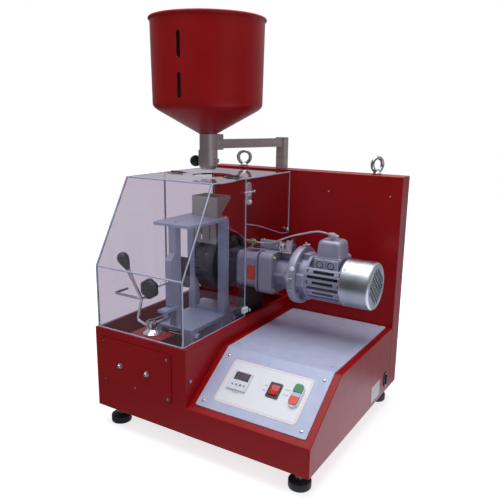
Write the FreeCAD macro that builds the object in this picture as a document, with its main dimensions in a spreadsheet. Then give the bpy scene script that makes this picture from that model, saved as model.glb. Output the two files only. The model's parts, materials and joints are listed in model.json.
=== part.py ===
import FreeCAD, Part
import math
import os
import re
import Sketcher
from FreeCAD import Placement, Rotation, Vector

doc = FreeCAD.newDocument("AbrasionTester")
sheet = doc.addObject("Spreadsheet::Sheet", "Sizes")

# Driving dimensions in millimetres. X runs right along the front, Y to the back, Z up.
# They are measured from the cabinet's front left bottom corner.
sizes = {
    "width": 700, "depth": 650, "chamber_width": 330, "chamber_height": 247, "wall_height": 678,
    "wall_deep": 65, "sheet": 3, "rim_lip": 14, "air": 0.3, "running": 0.05, "console_front": 80,
    "console_knee": 178, "console_top": 202, "plate_thick": 2.5, "plate_margin": 20,
    "window_margin": 12, "foot_height": 60, "foot_inset": 46, "foot_radius": 30, "pad_height": 30,
    "stud_radius": 8, "service_left": 22, "service_right": 281, "service_low": 80, "service_high": 222,
    "nut_x": 97.5, "nut_gap": 99, "nut_z": 148, "nut_radius": 9, "nut_high": 12, "eye_left": 120,
    "eye_right": 606, "eye_ring": 21, "eye_wire": 6, "eye_rise": 31, "mast_side": 30, "mast_left": 255,
    "mast_spare": 3, "arm_high": 28, "arm_thick": 14, "arm_top": 779, "wheel_x": 165, "wheel_y": 405,
    "wheel_z": 384, "wheel_radius": 100, "wheel_wide": 70, "shaft_radius": 15, "hopper_y": 336,
    "hopper_radius": 168, "hopper_base_radius": 164, "hopper_rim_z": 1120, "hopper_base_z": 872,
    "cone_base_z": 795, "tube_radius": 26, "hopper_wall": 2, "rim_bead": 5, "sleeve_radius": 29.5,
    "sleeve_low": 689, "sleeve_high": 747, "valve_z": 712, "ball_radius": 17.5, "ball_reach": 47.5,
    "slot_wide": 12, "slot_angle": -83, "upper_slot_low": 1003, "upper_slot_high": 1073,
    "lower_slot_low": 896, "lower_slot_high": 965, "hood_left": 9, "hood_right": 320, "hood_front": 4,
    "hood_knee": 430, "hood_slope_y": 141, "hood_top": 673, "hood_seam": 314, "hood_wall": 5,
    "seam_gap": 2, "port_x": 185, "port_y": 330, "port_radius": 62, "arch_front": 536, "arch_back": 468,
    "hinge_left": 60, "hinge_right": 270, "leaf_wide": 44, "leaf_deep": 22, "leaf_thick": 1.5,
    "knuckle_radius": 3, "hinge_pin": 1.5, "latch_z": 627, "latch_long": 68, "latch_wide": 24,
    "latch_thick": 4, "latch_pin": 3, "inlet_y": "=depth - wall_deep - 40", "inlet_z": 44,
    "inlet_wide": 28, "inlet_high": 48, "inlet_flange": 2.5,
    "counter_x": "=chamber_width + 0.3 * (width - chamber_width)", "counter_t": 119, "counter_wide": 61,
    "counter_high": 57, "counter_rise": 7, "counter_case": 45, "counter_deep": 48, "key_side": 7,
    "key_x": "=counter_x - 14", "key_pitch": 12, "key_t": "=counter_t - 14", "key_proud": 1.2,
    "rocker_x": "=chamber_width + 0.5838 * (width - chamber_width)", "rocker_t": 121, "rocker_wide": 36,
    "rocker_high": 45, "rocker_rise": 3,
    "button_x": "=chamber_width + 0.7595 * (width - chamber_width)", "button_t": 124, "button_wide": 30,
    "button_high": 70, "button_rise": 8, "button_travel": 3, "button_gap": 36, "gear_left": 258,
    "gear_flange_left": 349, "gear_flange_right": 393, "gear_flange_side": 128, "gear_radius": 56,
    "rib_wide": 7, "neck_radius": 42, "bell_left": 452, "bell_step": 478, "bell_radius": 87,
    "motor_left": 505, "motor_right": 612, "motor_radius": 66, "motor_core": 57, "cover_end": 700,
    "cover_radius": 70, "cover_wall": 1.5, "fan_left": 640, "fan_radius": 60, "box_x": 562,
    "box_side": 66, "box_base_side": 76, "box_low": 450, "box_high": 504, "table_left": 95,
    "table_right": 235, "table_front": 150, "table_back": 400, "table_top": 234, "table_thick": 10,
    "table_low": 180, "leg_wide": 30, "post_side": 25, "front_post_y": 157, "rear_post_y": 320,
    "top_plate_low": 536, "top_plate_thick": 8, "axle_z": 205, "axle_radius": 5, "roller_radius": 16,
    "roller_wide": 12, "front_axle_y": 172, "rear_axle_y": 378, "rail_high": 12, "boss_wide": 22,
    "boss_deep": 20, "boss_low": 285, "boss_high": 456, "boss_chamfer": 18, "screw_z": 376,
    "screw_radius": 5, "knob_y": 60, "knob_radius": 30, "knob_thick": 34, "press_wide": 60,
    "press_low": 350, "press_high": 440, "press_thick": 12, "press_y": 186, "chute_wide": 78,
    "chute_deep": 24, "chute_y": 318, "chute_low": 458, "funnel_wide": 92, "funnel_deep": 73,
    "funnel_high": 606, "funnel_wall": 1.5, "crank_y": 428, "crank_z": 60, "crank_pin_z": 184,
    "weight_long": 150, "toggle_x": 176, "toggle_y": 50,
    "toggle_radius": 22, "loop_z": 278, "toggle_arm": 7, "elbow_in": 37, "bail_rise": 65,
    "bail_reach": 53, "bail_wide": 103, "grip_in": 90, "grip_rise": 152, "grip_long": 57,
    "grip_radius": 17.5, "slit_long": 50, "slit_wide": 4, "loop_far": 122, "loop_half": 14, "wire": 2.5,
    "tongue_wide": 110, "tongue_deep": 78, "sensor_z": 466, "sensor_radius": 6,
    "sensor_left": 262, "sensor_right": 308, "bracket_left": 300, "bracket_right": 440,
    "cable_radius": 2.5, "rail_wide": 15, "beam_deep": 15, "beam_high": 10, "opening_lap": 8,
    "lever_thick": 12, "lever_deep": 16, "lever_hub": 14, "crank_pin": 4, "fork_thick": 9,
    "lug_thick": 7, "peg_radius": 8.4, "tab_low": 290, "tab_thick": 8, "cheek": 4, "hub_half": 6,
    "loop_eye": 5, "loop_pin": 2, "rod_radius": 4, "bail_radius": 3, "leaf_gap": 0.5, "fan_long": 15,
    "grille_slot": 4, "fin_wide": 7, "socket_deep": 17, "inlet_wall": 3, "pin_long": 12,
    "window_low": 189, "window_high": 222, "window_front": 179, "window_back": 300, "slab_high": 12,
    "slab_front": 325, "slab_right": 205, "arch_mid_y": "=hood_seam + 75", "arch_mid_z": 520,
    "arch_far_y": "=depth - wall_deep - 45", "arch_far_z": 471, "pedestal_left": 264,
    "pedestal_right": 298, "pedestal_front": 355, "pedestal_back": 455, "lever_half": 8,
    "motor_fins": 26,
    "weight_radius": "=sqrt(1.0276 * lever_thick * (depth - wall_deep - crank_y))",
    "weight_y": "=(crank_y + lever_deep + depth - wall_deep - sheet) / 2",
    "grille_bars": 15,
}
for row, (name, size) in enumerate(sizes.items(), 1):
    sheet.set(f"A{row}", name)
    sheet.set(f"B{row}", str(size))
    sheet.setAlias(f"B{row}", name)
doc.recompute()


def value(name):
    return float(sheet.get(name))


def cell(match):
    return "Sizes." + match.group() if match.group() in sizes else match.group()


def bound(expression):
    return re.sub(r"[a-z_]+", cell, str(expression))


def link(obj, prop, expression):
    obj.setExpression(prop, bound(expression))


def seat(obj, x, y, z):
    for axis, expression in zip("xyz", (x, y, z)):
        link(obj, "Placement.Base." + axis, expression)
    return obj


def number(expression):
    return float(sheet.evalExpression(bound(expression)))


turns = {"X": Rotation(Vector(0, 1, 0), 90), "Y": Rotation(Vector(1, 0, 0), -90), "Z": Rotation()}


def box(x, y, z, long, deep, high):
    obj = doc.addObject("Part::Box", "Block")
    link(obj, "Length", long)
    link(obj, "Width", deep)
    link(obj, "Height", high)
    return seat(obj, x, y, z)


def rod(x, y, z, radius, long, along="Z"):
    obj = doc.addObject("Part::Cylinder", "Rod")
    obj.Placement = Placement(Vector(), turns[along])
    link(obj, "Radius", radius)
    link(obj, "Height", long)
    return seat(obj, x, y, z)


def cone(x, y, z, start, end, long, along="Z"):
    obj = doc.addObject("Part::Cone", "Taper")
    obj.Placement = Placement(Vector(), turns[along])
    link(obj, "Radius1", start)
    link(obj, "Radius2", end)
    link(obj, "Height", long)
    return seat(obj, x, y, z)


def ball(x, y, z, radius):
    obj = doc.addObject("Part::Sphere", "Ball")
    link(obj, "Radius", radius)
    return seat(obj, x, y, z)


def ring(x, y, z, radius, wire, rotation):
    obj = doc.addObject("Part::Torus", "Ring")
    obj.Placement = Placement(Vector(), rotation)
    link(obj, "Radius1", radius)
    link(obj, "Radius2", wire)
    return seat(obj, x, y, z)


def several(kind, parts):
    obj = doc.addObject(kind, "Set")
    setattr(obj, "Links" if kind == "Part::Compound" else "Shapes", list(parts))
    return obj


def join(*parts):
    obj = several("Part::MultiFuse", parts)
    obj.Refine = True
    return obj


def cut(base, *tools):
    obj = doc.addObject("Part::Cut", "Cut")
    obj.Base = base
    obj.Tool = tools[0] if len(tools) == 1 else several("Part::MultiFuse", tools)
    return obj


def common(base, tool):
    obj = doc.addObject("Part::Common", "Common")
    obj.Base = base
    obj.Tool = tool
    return obj


def extent(edge, axis):
    size = edge.BoundBox
    return {"X": size.XLength, "Y": size.YLength, "Z": size.ZLength}[axis]


def along(axis, edge):
    others = [extent(edge, other) for other in "XYZ" if other != axis]
    return extent(edge, axis) > 1 and max(others) < 0.01


def soften(obj, radius, pick, kind="Part::Fillet"):
    doc.recompute()
    size = number(radius)
    soft = doc.addObject(kind, "Soft")
    soft.Base = obj
    soft.Edges = [(i, size, size) for i, edge in enumerate(obj.Shape.Edges, 1) if pick(edge)]
    return soft


def plane(body, role):
    return next(f for f in body.Origin.OriginFeatures if f.Role == role)


def outline(body, role, points):
    sketch = body.newObject("Sketcher::SketchObject", "Outline")
    sketch.AttachmentSupport = [(plane(body, role), "")]
    sketch.MapMode = "FlatFace"
    spots = [Vector(number(a), number(b), 0) for a, b in points]
    for start, end in zip(spots, spots[1:] + spots[:1]):
        sketch.addGeometry(Part.LineSegment(start, end), False)
    for i in range(len(points)):
        sketch.addConstraint(Sketcher.Constraint("Coincident", i, 2, (i + 1) % len(points), 1))
    for i, (point, spot) in enumerate(zip(points, spots)):
        for kind, expression, place in zip(("DistanceX", "DistanceY"), point, spot):
            which = sketch.addConstraint(Sketcher.Constraint(kind, -1, 1, i, 1, place))
            sketch.setExpression(f"Constraints[{which}]", bound(expression))
    return sketch


def padded(role, points, length, x=0, y=0, z=0):
    body = doc.addObject("PartDesign::Body", "Profile")
    pad = body.newObject("PartDesign::Pad", "Pad")
    pad.Profile = outline(body, role, points)
    link(pad, "Length", length)
    pad.Reversed = role == "XZ_Plane"
    body.Tip = pad
    return seat(body, x, y, z)


def turned(points, axis="Z", x=0, y=0, z=0):
    body = doc.addObject("PartDesign::Body", "Turned")
    sketch = outline(body, "YZ_Plane" if axis == "Y" else "XZ_Plane", points)
    spin = body.newObject("PartDesign::Revolution", "Spin")
    spin.Profile = sketch
    spin.ReferenceAxis = (sketch, ["V_Axis" if axis == "Z" else "H_Axis"])
    spin.Angle = 360
    body.Tip = spin
    return seat(body, x, y, z)


# The frame's origin lies on the floor under the middle of the whole machine.
middle_x = "(wheel_x - hopper_radius - rim_bead + width + inlet_flange) / 2"
middle_y = "(depth - sheet - nut_high) / 2"
subparts = []


def node(label, *pieces):
    obj = pieces[0] if len(pieces) == 1 else several("Part::Compound", pieces)
    if obj.TypeId in ("Part::Box", "Part::Cylinder", "Part::Cone", "PartDesign::Body", "Part::Torus"):
        obj = several("Part::Compound", [obj])
    obj.Label = label
    seat(obj, f"-({middle_x})", f"-({middle_y})", "foot_height")
    subparts.append(obj)
    return obj


slope_angle = math.degrees(math.atan2(value("console_top") - value("console_front"), value("console_knee")))


def sloped_node(label, *pieces):
    obj = node(label, *pieces)
    obj.Placement = Placement(Vector(), Rotation(Vector(1, 0, 0), slope_angle))
    return seat(obj, f"-({middle_x})", f"-({middle_y})", "foot_height + console_front")


def tub():
    outer = box(0, 0, 0, "chamber_width", "depth - wall_deep", "chamber_height")
    deep = "depth - wall_deep - 2 * sheet"
    cavity = box("sheet", "sheet", "sheet", "chamber_width - 2 * sheet", deep, "chamber_height - 2 * sheet")
    mouth = box("rim_lip", "rim_lip", "sheet", "chamber_width - 2 * rim_lip",
                "depth - wall_deep - 2 * rim_lip", "chamber_height")
    wide = "service_right - service_left - 2 * opening_lap"
    window = box("service_left + opening_lap", "-sheet", "service_low + opening_lap", wide, "3 * sheet",
                 "service_high - service_low - 2 * opening_lap")
    tongue = box("toggle_x - tongue_wide / 2", 0, "chamber_height - sheet",
                 "tongue_wide", "tongue_deep", "sheet")
    rail_top = "axle_z - roller_radius - air"
    rail_low = f"({rail_top} - rail_high)"
    pieces = [cut(outer, cavity, mouth, window), tongue]
    for left in ("table_left - rail_wide - 1", "table_right + 1"):
        pieces.append(box(left, "foot_inset", rail_low, "rail_wide",
                          "depth - wall_deep - foot_inset - sheet",
                          "rail_high"))
    ahead = "table_front - 2 * table_thick - beam_deep - roller_radius"
    for near in (ahead, "depth - wall_deep - 2 * beam_deep"):
        pieces.append(box("sheet", near, f"{rail_low} - beam_high", "chamber_width - 2 * sheet",
                          "beam_deep",
                          "beam_high"))
    for left in ("wheel_x - lever_hub - air", "wheel_x + lever_hub + air - lug_thick"):
        lug = join(box(left, "crank_y - lever_deep", "sheet", "lug_thick", "2 * lever_deep",
                       "crank_z - sheet"),
                   rod(left, "crank_y", "crank_z", "lever_deep", "lug_thick", "X"))
        pieces.append(cut(lug, rod(f"{left} - 1", "crank_y", "crank_z", "crank_pin + 2 + running",
                                   "lug_thick + 2", "X")))
    node("chamber_tub", join(*pieces))
    plate = box("service_left", "-sheet", "service_low", "service_right - service_left", "sheet",
                "service_high - service_low")
    node("service_panel", soften(plate, 6, lambda edge: along("Y", edge)))
    caps = []
    for i in range(2):
        caps.append(turned([(0, 0), (0, "nut_radius"), ("-nut_high / 3", "nut_radius"),
                            ("-nut_high / 3", "nut_radius * 0.8"), ("-nut_high * 0.75",
                                                                    "nut_radius * 0.65"),
                            ("-nut_high * 0.95", "nut_radius * 0.35"), ("-nut_high", 0)],
                           "Y", f"nut_x + {i} * nut_gap", "-sheet", "nut_z"))
    node("dome_nuts", *caps)


def lean(run, rise):
    return f"tan((90 deg - atan(({rise}) / ({run}))) / 2)"


def console():
    low_turn = lean("console_knee", "console_top - console_front")
    high_turn = "tan(atan((console_top - console_front) / console_knee) / 2)"
    back = "depth - wall_deep"
    shell = padded("YZ_Plane", [(0, 0), (0, "console_front"), ("console_knee", "console_top"),
                                (back, "console_top"), (back, 0)], "width - chamber_width", "chamber_width")
    hollow = padded("YZ_Plane", [("sheet", "sheet"), ("sheet", f"console_front - sheet * {low_turn}"),
                                 (f"console_knee + sheet * {high_turn}", "console_top - sheet"),
                                 (f"{back} - sheet", "console_top - sheet"), (f"{back} - sheet", "sheet")],
                    "width - chamber_width - 2 * sheet", "chamber_width + sheet")
    wide = "width - chamber_width - 2 * plate_margin - 2 * window_margin"
    left = "chamber_width + plate_margin + window_margin"
    window = box(left, f"{slope_start} + window_margin", "-2 * sheet", wide,
                 f"{slope_long} - 2 * window_margin", "4 * sheet")
    window.Placement = Placement(Vector(), Rotation(Vector(1, 0, 0), slope_angle))
    seat_on_slope(window, left, f"({slope_start} + window_margin)", "(-2 * sheet)")
    top = box(left, "console_knee + plate_margin", "console_top - 2 * sheet", wide,
              f"{back} - console_knee - 2 * plate_margin", "3 * sheet")
    socket = box("width - 2 * sheet", "inlet_y - inlet_wide / 2 + inlet_wall",
                 "inlet_z - inlet_high / 2 + inlet_wall",
                 "4 * sheet", "inlet_wide - 2 * inlet_wall", "inlet_high - 2 * inlet_wall")
    node("console_housing", cut(shell, hollow, window, top, socket))
    plate = box("chamber_width + plate_margin", "console_knee + 2 * plate_thick", "console_top",
                "width - chamber_width - 2 * plate_margin", f"{back} - console_knee - 4 * plate_thick",
                "plate_thick")
    node("console_top_plate", soften(plate, 5, lambda edge: along("Z", edge)))


slope_cos = "cos(atan((console_top - console_front) / console_knee))"
slope_sin = "sin(atan((console_top - console_front) / console_knee))"
slope_start = "plate_margin"
slope_long = f"(console_knee / {slope_cos} - plate_margin - plate_thick)"


def seat_on_slope(obj, x, t, n):
    return seat(obj, x, f"{t} * {slope_cos} - {n} * {slope_sin}",
                f"console_front + {t} * {slope_sin} + {n} * {slope_cos}")


def centred(x, y, z, long, deep, high):
    return box(f"{x} - ({long}) / 2", f"{y} - ({deep}) / 2", z, long, deep, high)


def stadium(x, y, z, wide, long, high):
    ends = [rod(x, f"{y} + {side} * (({long}) - ({wide})) / 2", z, f"({wide}) / 2", high)
            for side in (1, -1)]
    return join(centred(x, y, z, wide, f"({long}) - ({wide})", high), *ends)


def control_panel():
    plate = box("chamber_width + plate_margin", slope_start, 0, "width - chamber_width - 2 * plate_margin",
                slope_long, "plate_thick")
    plate = soften(plate, 5, lambda edge: along("Z", edge))
    holes = [centred("counter_x", "counter_t", -1, "counter_case + 2 * air", "counter_case + 2 * air", 5),
             centred("rocker_x", "rocker_t", -1, "rocker_wide - 8 + 2 * air", "rocker_high - 8 + 2 * air",
                     5),
             stadium("button_x", "button_t", -1, "button_wide - 4 + 2 * air", "button_high - 4 + 2 * air",
                     5)]
    sloped_node("control_plate", cut(plate, *holes))
    bezel = centred("counter_x", "counter_t", "plate_thick", "counter_wide", "counter_high", "counter_rise")
    bezel = soften(bezel, 2, lambda edge: along("Z", edge))
    case = centred("counter_x", "counter_t", "plate_thick - counter_deep", "counter_case", "counter_case",
                   "counter_deep")
    face = "plate_thick + counter_rise"
    display = box("counter_x - 20", "counter_t", f"{face} - 1", 46, 25, 3)
    wells = []
    for i in range(4):
        x = f"key_x + {i} * key_pitch"
        wells.append(centred(x, "key_t", f"{face} - 4", "key_side + 2 * air", "key_side + 2 * air", 6))
        key = centred(x, "key_t", f"{face} - 2", "key_side", "key_side", "2 + key_proud")
        sloped_node(f"counter_key_{i + 1}", key)
    sloped_node("counter_body", cut(join(bezel, case), display, *wells))


def rocker_switch():
    flange = centred("rocker_x", "rocker_t", "plate_thick", "rocker_wide", "rocker_high", "rocker_rise")
    flange = soften(flange, 3, lambda edge: along("Z", edge))
    well = centred("rocker_x", "rocker_t", "plate_thick - 20", "rocker_wide - 8", "rocker_high - 8", 20)
    hole = centred("rocker_x", "rocker_t", "plate_thick - 17", "rocker_wide - 12", "rocker_high - 12", 30)
    pins = rod("rocker_x - rocker_wide / 2 + 4.5", "rocker_t", "plate_thick - 2", "2 + running",
               "rocker_wide - 9", "X")
    sloped_node("rocker_frame", cut(join(flange, well), hole, pins))
    half = "(rocker_high / 2 - 7)"
    paddle = padded("YZ_Plane", [(f"-{half}", 7), (0, 4), (half, 7), (f"{half} - 2", -4),
                                 (f"2 - {half}", -4)],
                    "rocker_wide - 13", "-rocker_wide / 2 + 6.5")
    tilted = join(paddle, rod("-rocker_wide / 2 + 4.8", 0, 0, 2, "rocker_wide - 9.6", "X"))
    tilted.Placement = Placement(Vector(), Rotation(Vector(1, 0, 0), -8))
    seat(tilted, "rocker_x", "rocker_t", "plate_thick - 2")
    sloped_node("rocker", several("Part::Compound", [tilted]))


def push_buttons():
    rim = stadium("button_x", "button_t", "plate_thick", "button_wide", "button_high", "button_rise")
    base = stadium("button_x", "button_t", "plate_thick - 20", "button_wide - 4", "button_high - 4", 20)
    inner = ("button_wide - 5", "button_high - 5")
    top = "plate_thick + button_rise"
    wells = []
    for side, label in ((1, "start_button"), (-1, "stop_button")):
        middle = f"button_t + {side} * button_gap / 2"
        for gap, low, high in ((0, f"{top} - 8", 30), ("air", f"{top} - 8 + button_travel + air", 11)):
            if gap:
                face = stadium("button_x", "button_t", low, f"{inner[0]} - 2 * air",
                               f"{inner[1]} - 2 * air",
                               f"{high} - button_travel - air")
                limit = centred("button_x", middle, low, "button_wide", "button_gap - 12 - 2 * air", high)
                sloped_node(label, common(face, limit))
            else:
                limit = centred("button_x", middle, low, "button_wide", "button_gap - 12", high)
                wells.append(common(stadium("button_x", "button_t", low, inner[0], inner[1], high), limit))
    sloped_node("button_frame", cut(join(rim, base), *wells))


def power_inlet():
    flange = box("width", "inlet_y - inlet_wide / 2", "inlet_z - inlet_high / 2", "inlet_flange",
                 "inlet_wide", "inlet_high")
    wide = "inlet_wide - 2 * inlet_wall - 2 * air"
    high = "inlet_high - 2 * inlet_wall - 2 * air"
    case = box("width - socket_deep - inlet_wall", f"inlet_y - ({wide}) / 2", f"inlet_z - ({high}) / 2",
               "socket_deep + inlet_wall", wide, high)
    mouth = box("width + inlet_flange - socket_deep", f"inlet_y - ({wide}) / 2 + 2",
                f"inlet_z - ({high}) / 2 + 9",
                "socket_deep + 1", f"{wide} - 4", f"{high} - 18")
    pieces = [cut(join(flange, case), mouth)]
    for y, z in ((3, 0), (-2, 7), (-2, -7)):
        pieces.append(box("width + inlet_flange - socket_deep", f"inlet_y + {y} - 1", f"inlet_z + {z} - 2",
                          "pin_long", 2, 4))
    node("power_inlet", join(*pieces))


def rear_wall():
    shell = box(0, "depth - wall_deep", 0, "width", "wall_deep", "wall_height")
    hollow = box("sheet", "depth - wall_deep + sheet", "sheet", "width - 2 * sheet",
                 "wall_deep - 2 * sheet",
                 "wall_height - 2 * sheet")
    middle = "depth - wall_deep / 2"
    holes = [rod(x, middle, "wall_height - 2 * sheet", "eye_wire + running", "3 * sheet")
             for x in ("eye_left", "eye_right")]
    node("back_wall", cut(shell, hollow, *holes))
    bolts = []
    for x, turn in (("eye_left", 32), ("eye_right", 64)):
        shank = rod(x, middle, "wall_height - 2 * eye_wire", "eye_wire", "3 * eye_wire")
        collar = cone(x, middle, "wall_height", "2.4 * eye_wire", "2.1 * eye_wire", "eye_wire")
        saddle = cone(x, middle, "wall_height + eye_wire", "2.1 * eye_wire", "1.1 * eye_wire", "eye_wire")
        upright = Rotation(Vector(0, 0, 1), turn) * Rotation(Vector(1, 0, 0), 90)
        loop = ring(x, middle, "wall_height + eye_rise", "eye_ring", "eye_wire", upright)
        inner = rod(x, middle, "wall_height + eye_wire / 2", "eye_wire",
                    "eye_rise - eye_ring - eye_wire / 2")
        bolts.append(join(shank, collar, saddle, inner, loop))
    node("eye_bolts", *bolts)


def feet():
    pads, studs = [], []
    for x in ("foot_inset", "width - foot_inset"):
        for y in ("foot_inset", "depth - foot_inset"):
            pad = rod(x, y, "-foot_height", "foot_radius", "pad_height")
            pad = soften(pad, 4, lambda edge: True, "Part::Chamfer")
            pads.append(cut(pad, rod(x, y, "-foot_height + 10", "stud_radius + running", "pad_height")))
            stud = rod(x, y, "-foot_height + 10", "stud_radius", "foot_height - 10")
            nut = hexagon(x, y, "-1.2 * stud_radius", "1.6 * stud_radius", "1.2 * stud_radius")
            studs.append(join(stud, nut))
    node("foot_pads", *pads)
    node("foot_studs", *studs)


def hexagon(x, y, z, across, high):
    prism = doc.addObject("Part::Prism", "Hexagon")
    prism.Polygon = 6
    link(prism, "Circumradius", across)
    link(prism, "Height", high)
    return seat(prism, x, y, z)


def mast_and_arm():
    front = "(depth - wall_deep / 2 - mast_side / 2)"
    tube = box("mast_left", front, "wall_height", "mast_side", "mast_side",
               "arm_top + mast_spare - wall_height")
    bore = box("mast_left + sheet", f"{front} + sheet", "wall_height - sheet", "mast_side - 2 * sheet",
               "mast_side - 2 * sheet", "arm_top + mast_spare - wall_height")
    node("mast", cut(tube, bore))
    run = f"({front} - hopper_y)"
    across = "(mast_left + mast_side / 2 - wheel_x)"
    low = "arm_top - arm_high"
    bar = box(0, "-arm_thick / 2", 0, f"sqrt({run} * {run} + {across} * {across}) + arm_thick", "arm_thick",
              "arm_high")
    turn = math.degrees(math.atan2(number(run), number(across)))
    bar.Placement = Placement(Vector(), Rotation(Vector(0, 0, 1), turn))
    link(bar, "Placement.Base.y", "0")
    slant = f"arm_thick / 2 * {math.cos(math.radians(turn)):.6f}"
    seat(bar, f"arm_thick / 2 * {math.sin(math.radians(turn)):.6f}", f"-({slant})", 0)
    saddle = box(0, 0, 0, "tube_radius + 7 * sheet", "mast_side", "cone_base_z - sleeve_high - 2 * air")
    saddle.Placement = Placement(Vector(), Rotation(Vector(0, 0, 1), turn))
    seat(saddle, f"mast_side / 2 * {math.sin(math.radians(turn)):.6f}",
         f"-mast_side / 2 * {math.cos(math.radians(turn)):.6f}", f"sleeve_high + air - ({low})")
    bore = rod("wheel_x", "hopper_y", "sleeve_high", "tube_radius + running", "cone_base_z - sleeve_high")
    group = join(bar, saddle)
    seat(group, "wheel_x", "hopper_y", low)
    stop = box("mast_left - mast_side", front, f"{low} - 1", "3 * mast_side", "mast_side", "arm_high + 2")
    node("hopper_arm", cut(group, bore, stop))


def feed():
    inner = "tube_radius - hopper_wall"
    bead = [(f"hopper_radius + rim_bead * {math.cos(angle):.4f}",
             f"hopper_rim_z + rim_bead * {math.sin(angle):.4f}")
            for angle in (math.radians(45 * step) for step in range(-1, 5))]
    bowl = turned([("tube_radius", "cone_base_z"), ("hopper_base_radius", "hopper_base_z"),
                   ("hopper_radius", "hopper_rim_z - rim_bead"), *bead,
                   ("hopper_radius - hopper_wall", "hopper_rim_z - rim_bead"),
                   ("hopper_base_radius - hopper_wall", "hopper_base_z"), (inner, "cone_base_z")],
                  "Z", "wheel_x", "hopper_y", 0)
    slots = []
    for name in ("upper", "lower"):
        slot = box("hopper_radius / 2", "-slot_wide / 2", f"{name}_slot_low", "hopper_radius", "slot_wide",
                   f"{name}_slot_high - {name}_slot_low")
        slots.append(soften(slot, "slot_wide / 2 - air", lambda edge: along("X", edge)))
    fan = several("Part::Compound", slots)
    fan.Placement = Placement(Vector(), Rotation(Vector(0, 0, 1), value("slot_angle")))
    seat(fan, "wheel_x", "hopper_y", 0)
    node("hopper", cut(bowl, fan))
    outer = rod("wheel_x", "hopper_y", "sleeve_high - 2", "tube_radius", "cone_base_z - sleeve_high + 2")
    bore = rod("wheel_x", "hopper_y", "sleeve_high - 3", inner, "cone_base_z - sleeve_high + 4")
    node("outlet_tube", cut(outer, bore))
    low = "sleeve_low"
    sleeve = turned([(inner, f"{low} + 10"), (0.7 * value("tube_radius"), low), ("sleeve_radius - 8", low),
                     ("sleeve_radius", f"{low} + 12"), ("sleeve_radius", "sleeve_high"),
                     ("tube_radius + air", "sleeve_high"), ("tube_radius + air", "sleeve_high - 3"),
                     (inner, "sleeve_high - 3")], "Z", "wheel_x", "hopper_y", 0)
    hole = rod("wheel_x - sleeve_radius - 8", "hopper_y", "valve_z", "screw_radius + running",
               "sleeve_radius", "X")
    bolt = rod(f"wheel_x + {inner} + 0.5", "hopper_y", "valve_z + 4", 7, "sleeve_radius - tube_radius + 9",
               "X")
    room = rod("wheel_x", "hopper_y", f"{low} + 10", inner, "sleeve_high - sleeve_low")
    node("valve_body", cut(join(sleeve, bolt), hole, room))
    stem = rod("wheel_x - ball_reach", "hopper_y", "valve_z", "screw_radius", "ball_reach + 10", "X")
    gate = rod("wheel_x + 8", "hopper_y", "valve_z", f"{inner} - 12", 4, "X")
    node("valve_plunger", join(ball("wheel_x - ball_reach", "hopper_y", "valve_z", "ball_radius"), stem,
                               gate))


hood_lean = "atan((hood_slope_y - hood_front) / (hood_top - hood_knee))"
hinge_z = "(hood_top + knuckle_radius + air)"
hinge_y = "hood_seam"


def guard():
    wall = "hood_wall"
    low = "(chamber_height + air)"
    wide = "hood_right - hood_left"
    seam = f"(hood_seam - seam_gap / 2)"
    outer = padded("YZ_Plane", [("hood_front", low), ("hood_front", "hood_knee"),
                                ("hood_slope_y", "hood_top"),
                                (seam, "hood_top"), (seam, low)], wide, "hood_left")
    inner = padded("YZ_Plane", [(f"hood_front + {wall}", f"{low} - 5"),
                                (f"hood_front + {wall}", f"hood_knee - {wall} * tan({hood_lean} / 2)"),
                                (f"hood_slope_y + {wall} * tan((90 deg - {hood_lean}) / 2)",
                                 f"hood_top - {wall}"),
                                (f"{seam} + 5", f"hood_top - {wall}"), (f"{seam} + 5", f"{low} - 5")],
                   f"{wide} - 2 * {wall}", f"hood_left + {wall}")
    port = rod("port_x", "port_y", f"hood_top - 2 * {wall}", "port_radius", f"3 * {wall}")
    node("front_hood", cut(outer, inner, port))
    start = "(hood_seam + seam_gap / 2)"
    long = f"depth - wall_deep - {start}"
    block = box("hood_left", start, low, wide, long, f"hood_top - {low}")
    room = box(f"hood_left + {wall}", f"{start} - 1", f"{low} - 1", f"{wide} - 2 * {wall}", f"{long} + 2",
               f"hood_top - {wall} - {low} + 1")
    arch = padded("YZ_Plane", [(f"{start} - 5", f"{low} - 5"), (f"{start} - 5", "arch_front"),
                               ("arch_mid_y", "arch_mid_z"), ("arch_far_y", "arch_far_z"),
                               ("depth - wall_deep + 5", "arch_back"), ("depth - wall_deep + 5",
                                                                        f"{low} - 5")],
                  f"2 * {wall}", f"hood_right - 1.5 * {wall}")
    first, last = value("hood_seam") + 20, value("depth") - value("wall_deep") - 1
    arch = soften(arch, "port_radius", lambda edge: along("X",
                                                          edge) and first < edge.BoundBox.Center.y < last)
    port = rod("port_x", "port_y", f"hood_top - 2 * {wall}", "port_radius", f"3 * {wall}")
    pivot = rod(f"hood_right - 2 * {wall}", "hood_seam + latch_wide / 3", "latch_z", "latch_pin + running",
                f"3 * {wall}", "X")
    node("rear_cover", cut(block, room, arch, port, pivot))
    bar = box("hood_right + air", "hood_seam + latch_wide / 3 - latch_wide / 2", "latch_z - latch_long / 2",
              "latch_thick", "latch_wide", "latch_long")
    bar = soften(bar, 4, lambda edge: along("X", edge))
    pin = rod(f"hood_right - {wall} - 3", "hood_seam + latch_wide / 3", "latch_z", "latch_pin",
              f"{wall} + 6", "X")
    clip = rod(f"hood_right - {wall} - 3", "hood_seam + latch_wide / 3", "latch_z", "2 * latch_pin",
               "3 - air", "X")
    node("hood_latch", join(bar, pin, clip))


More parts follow.
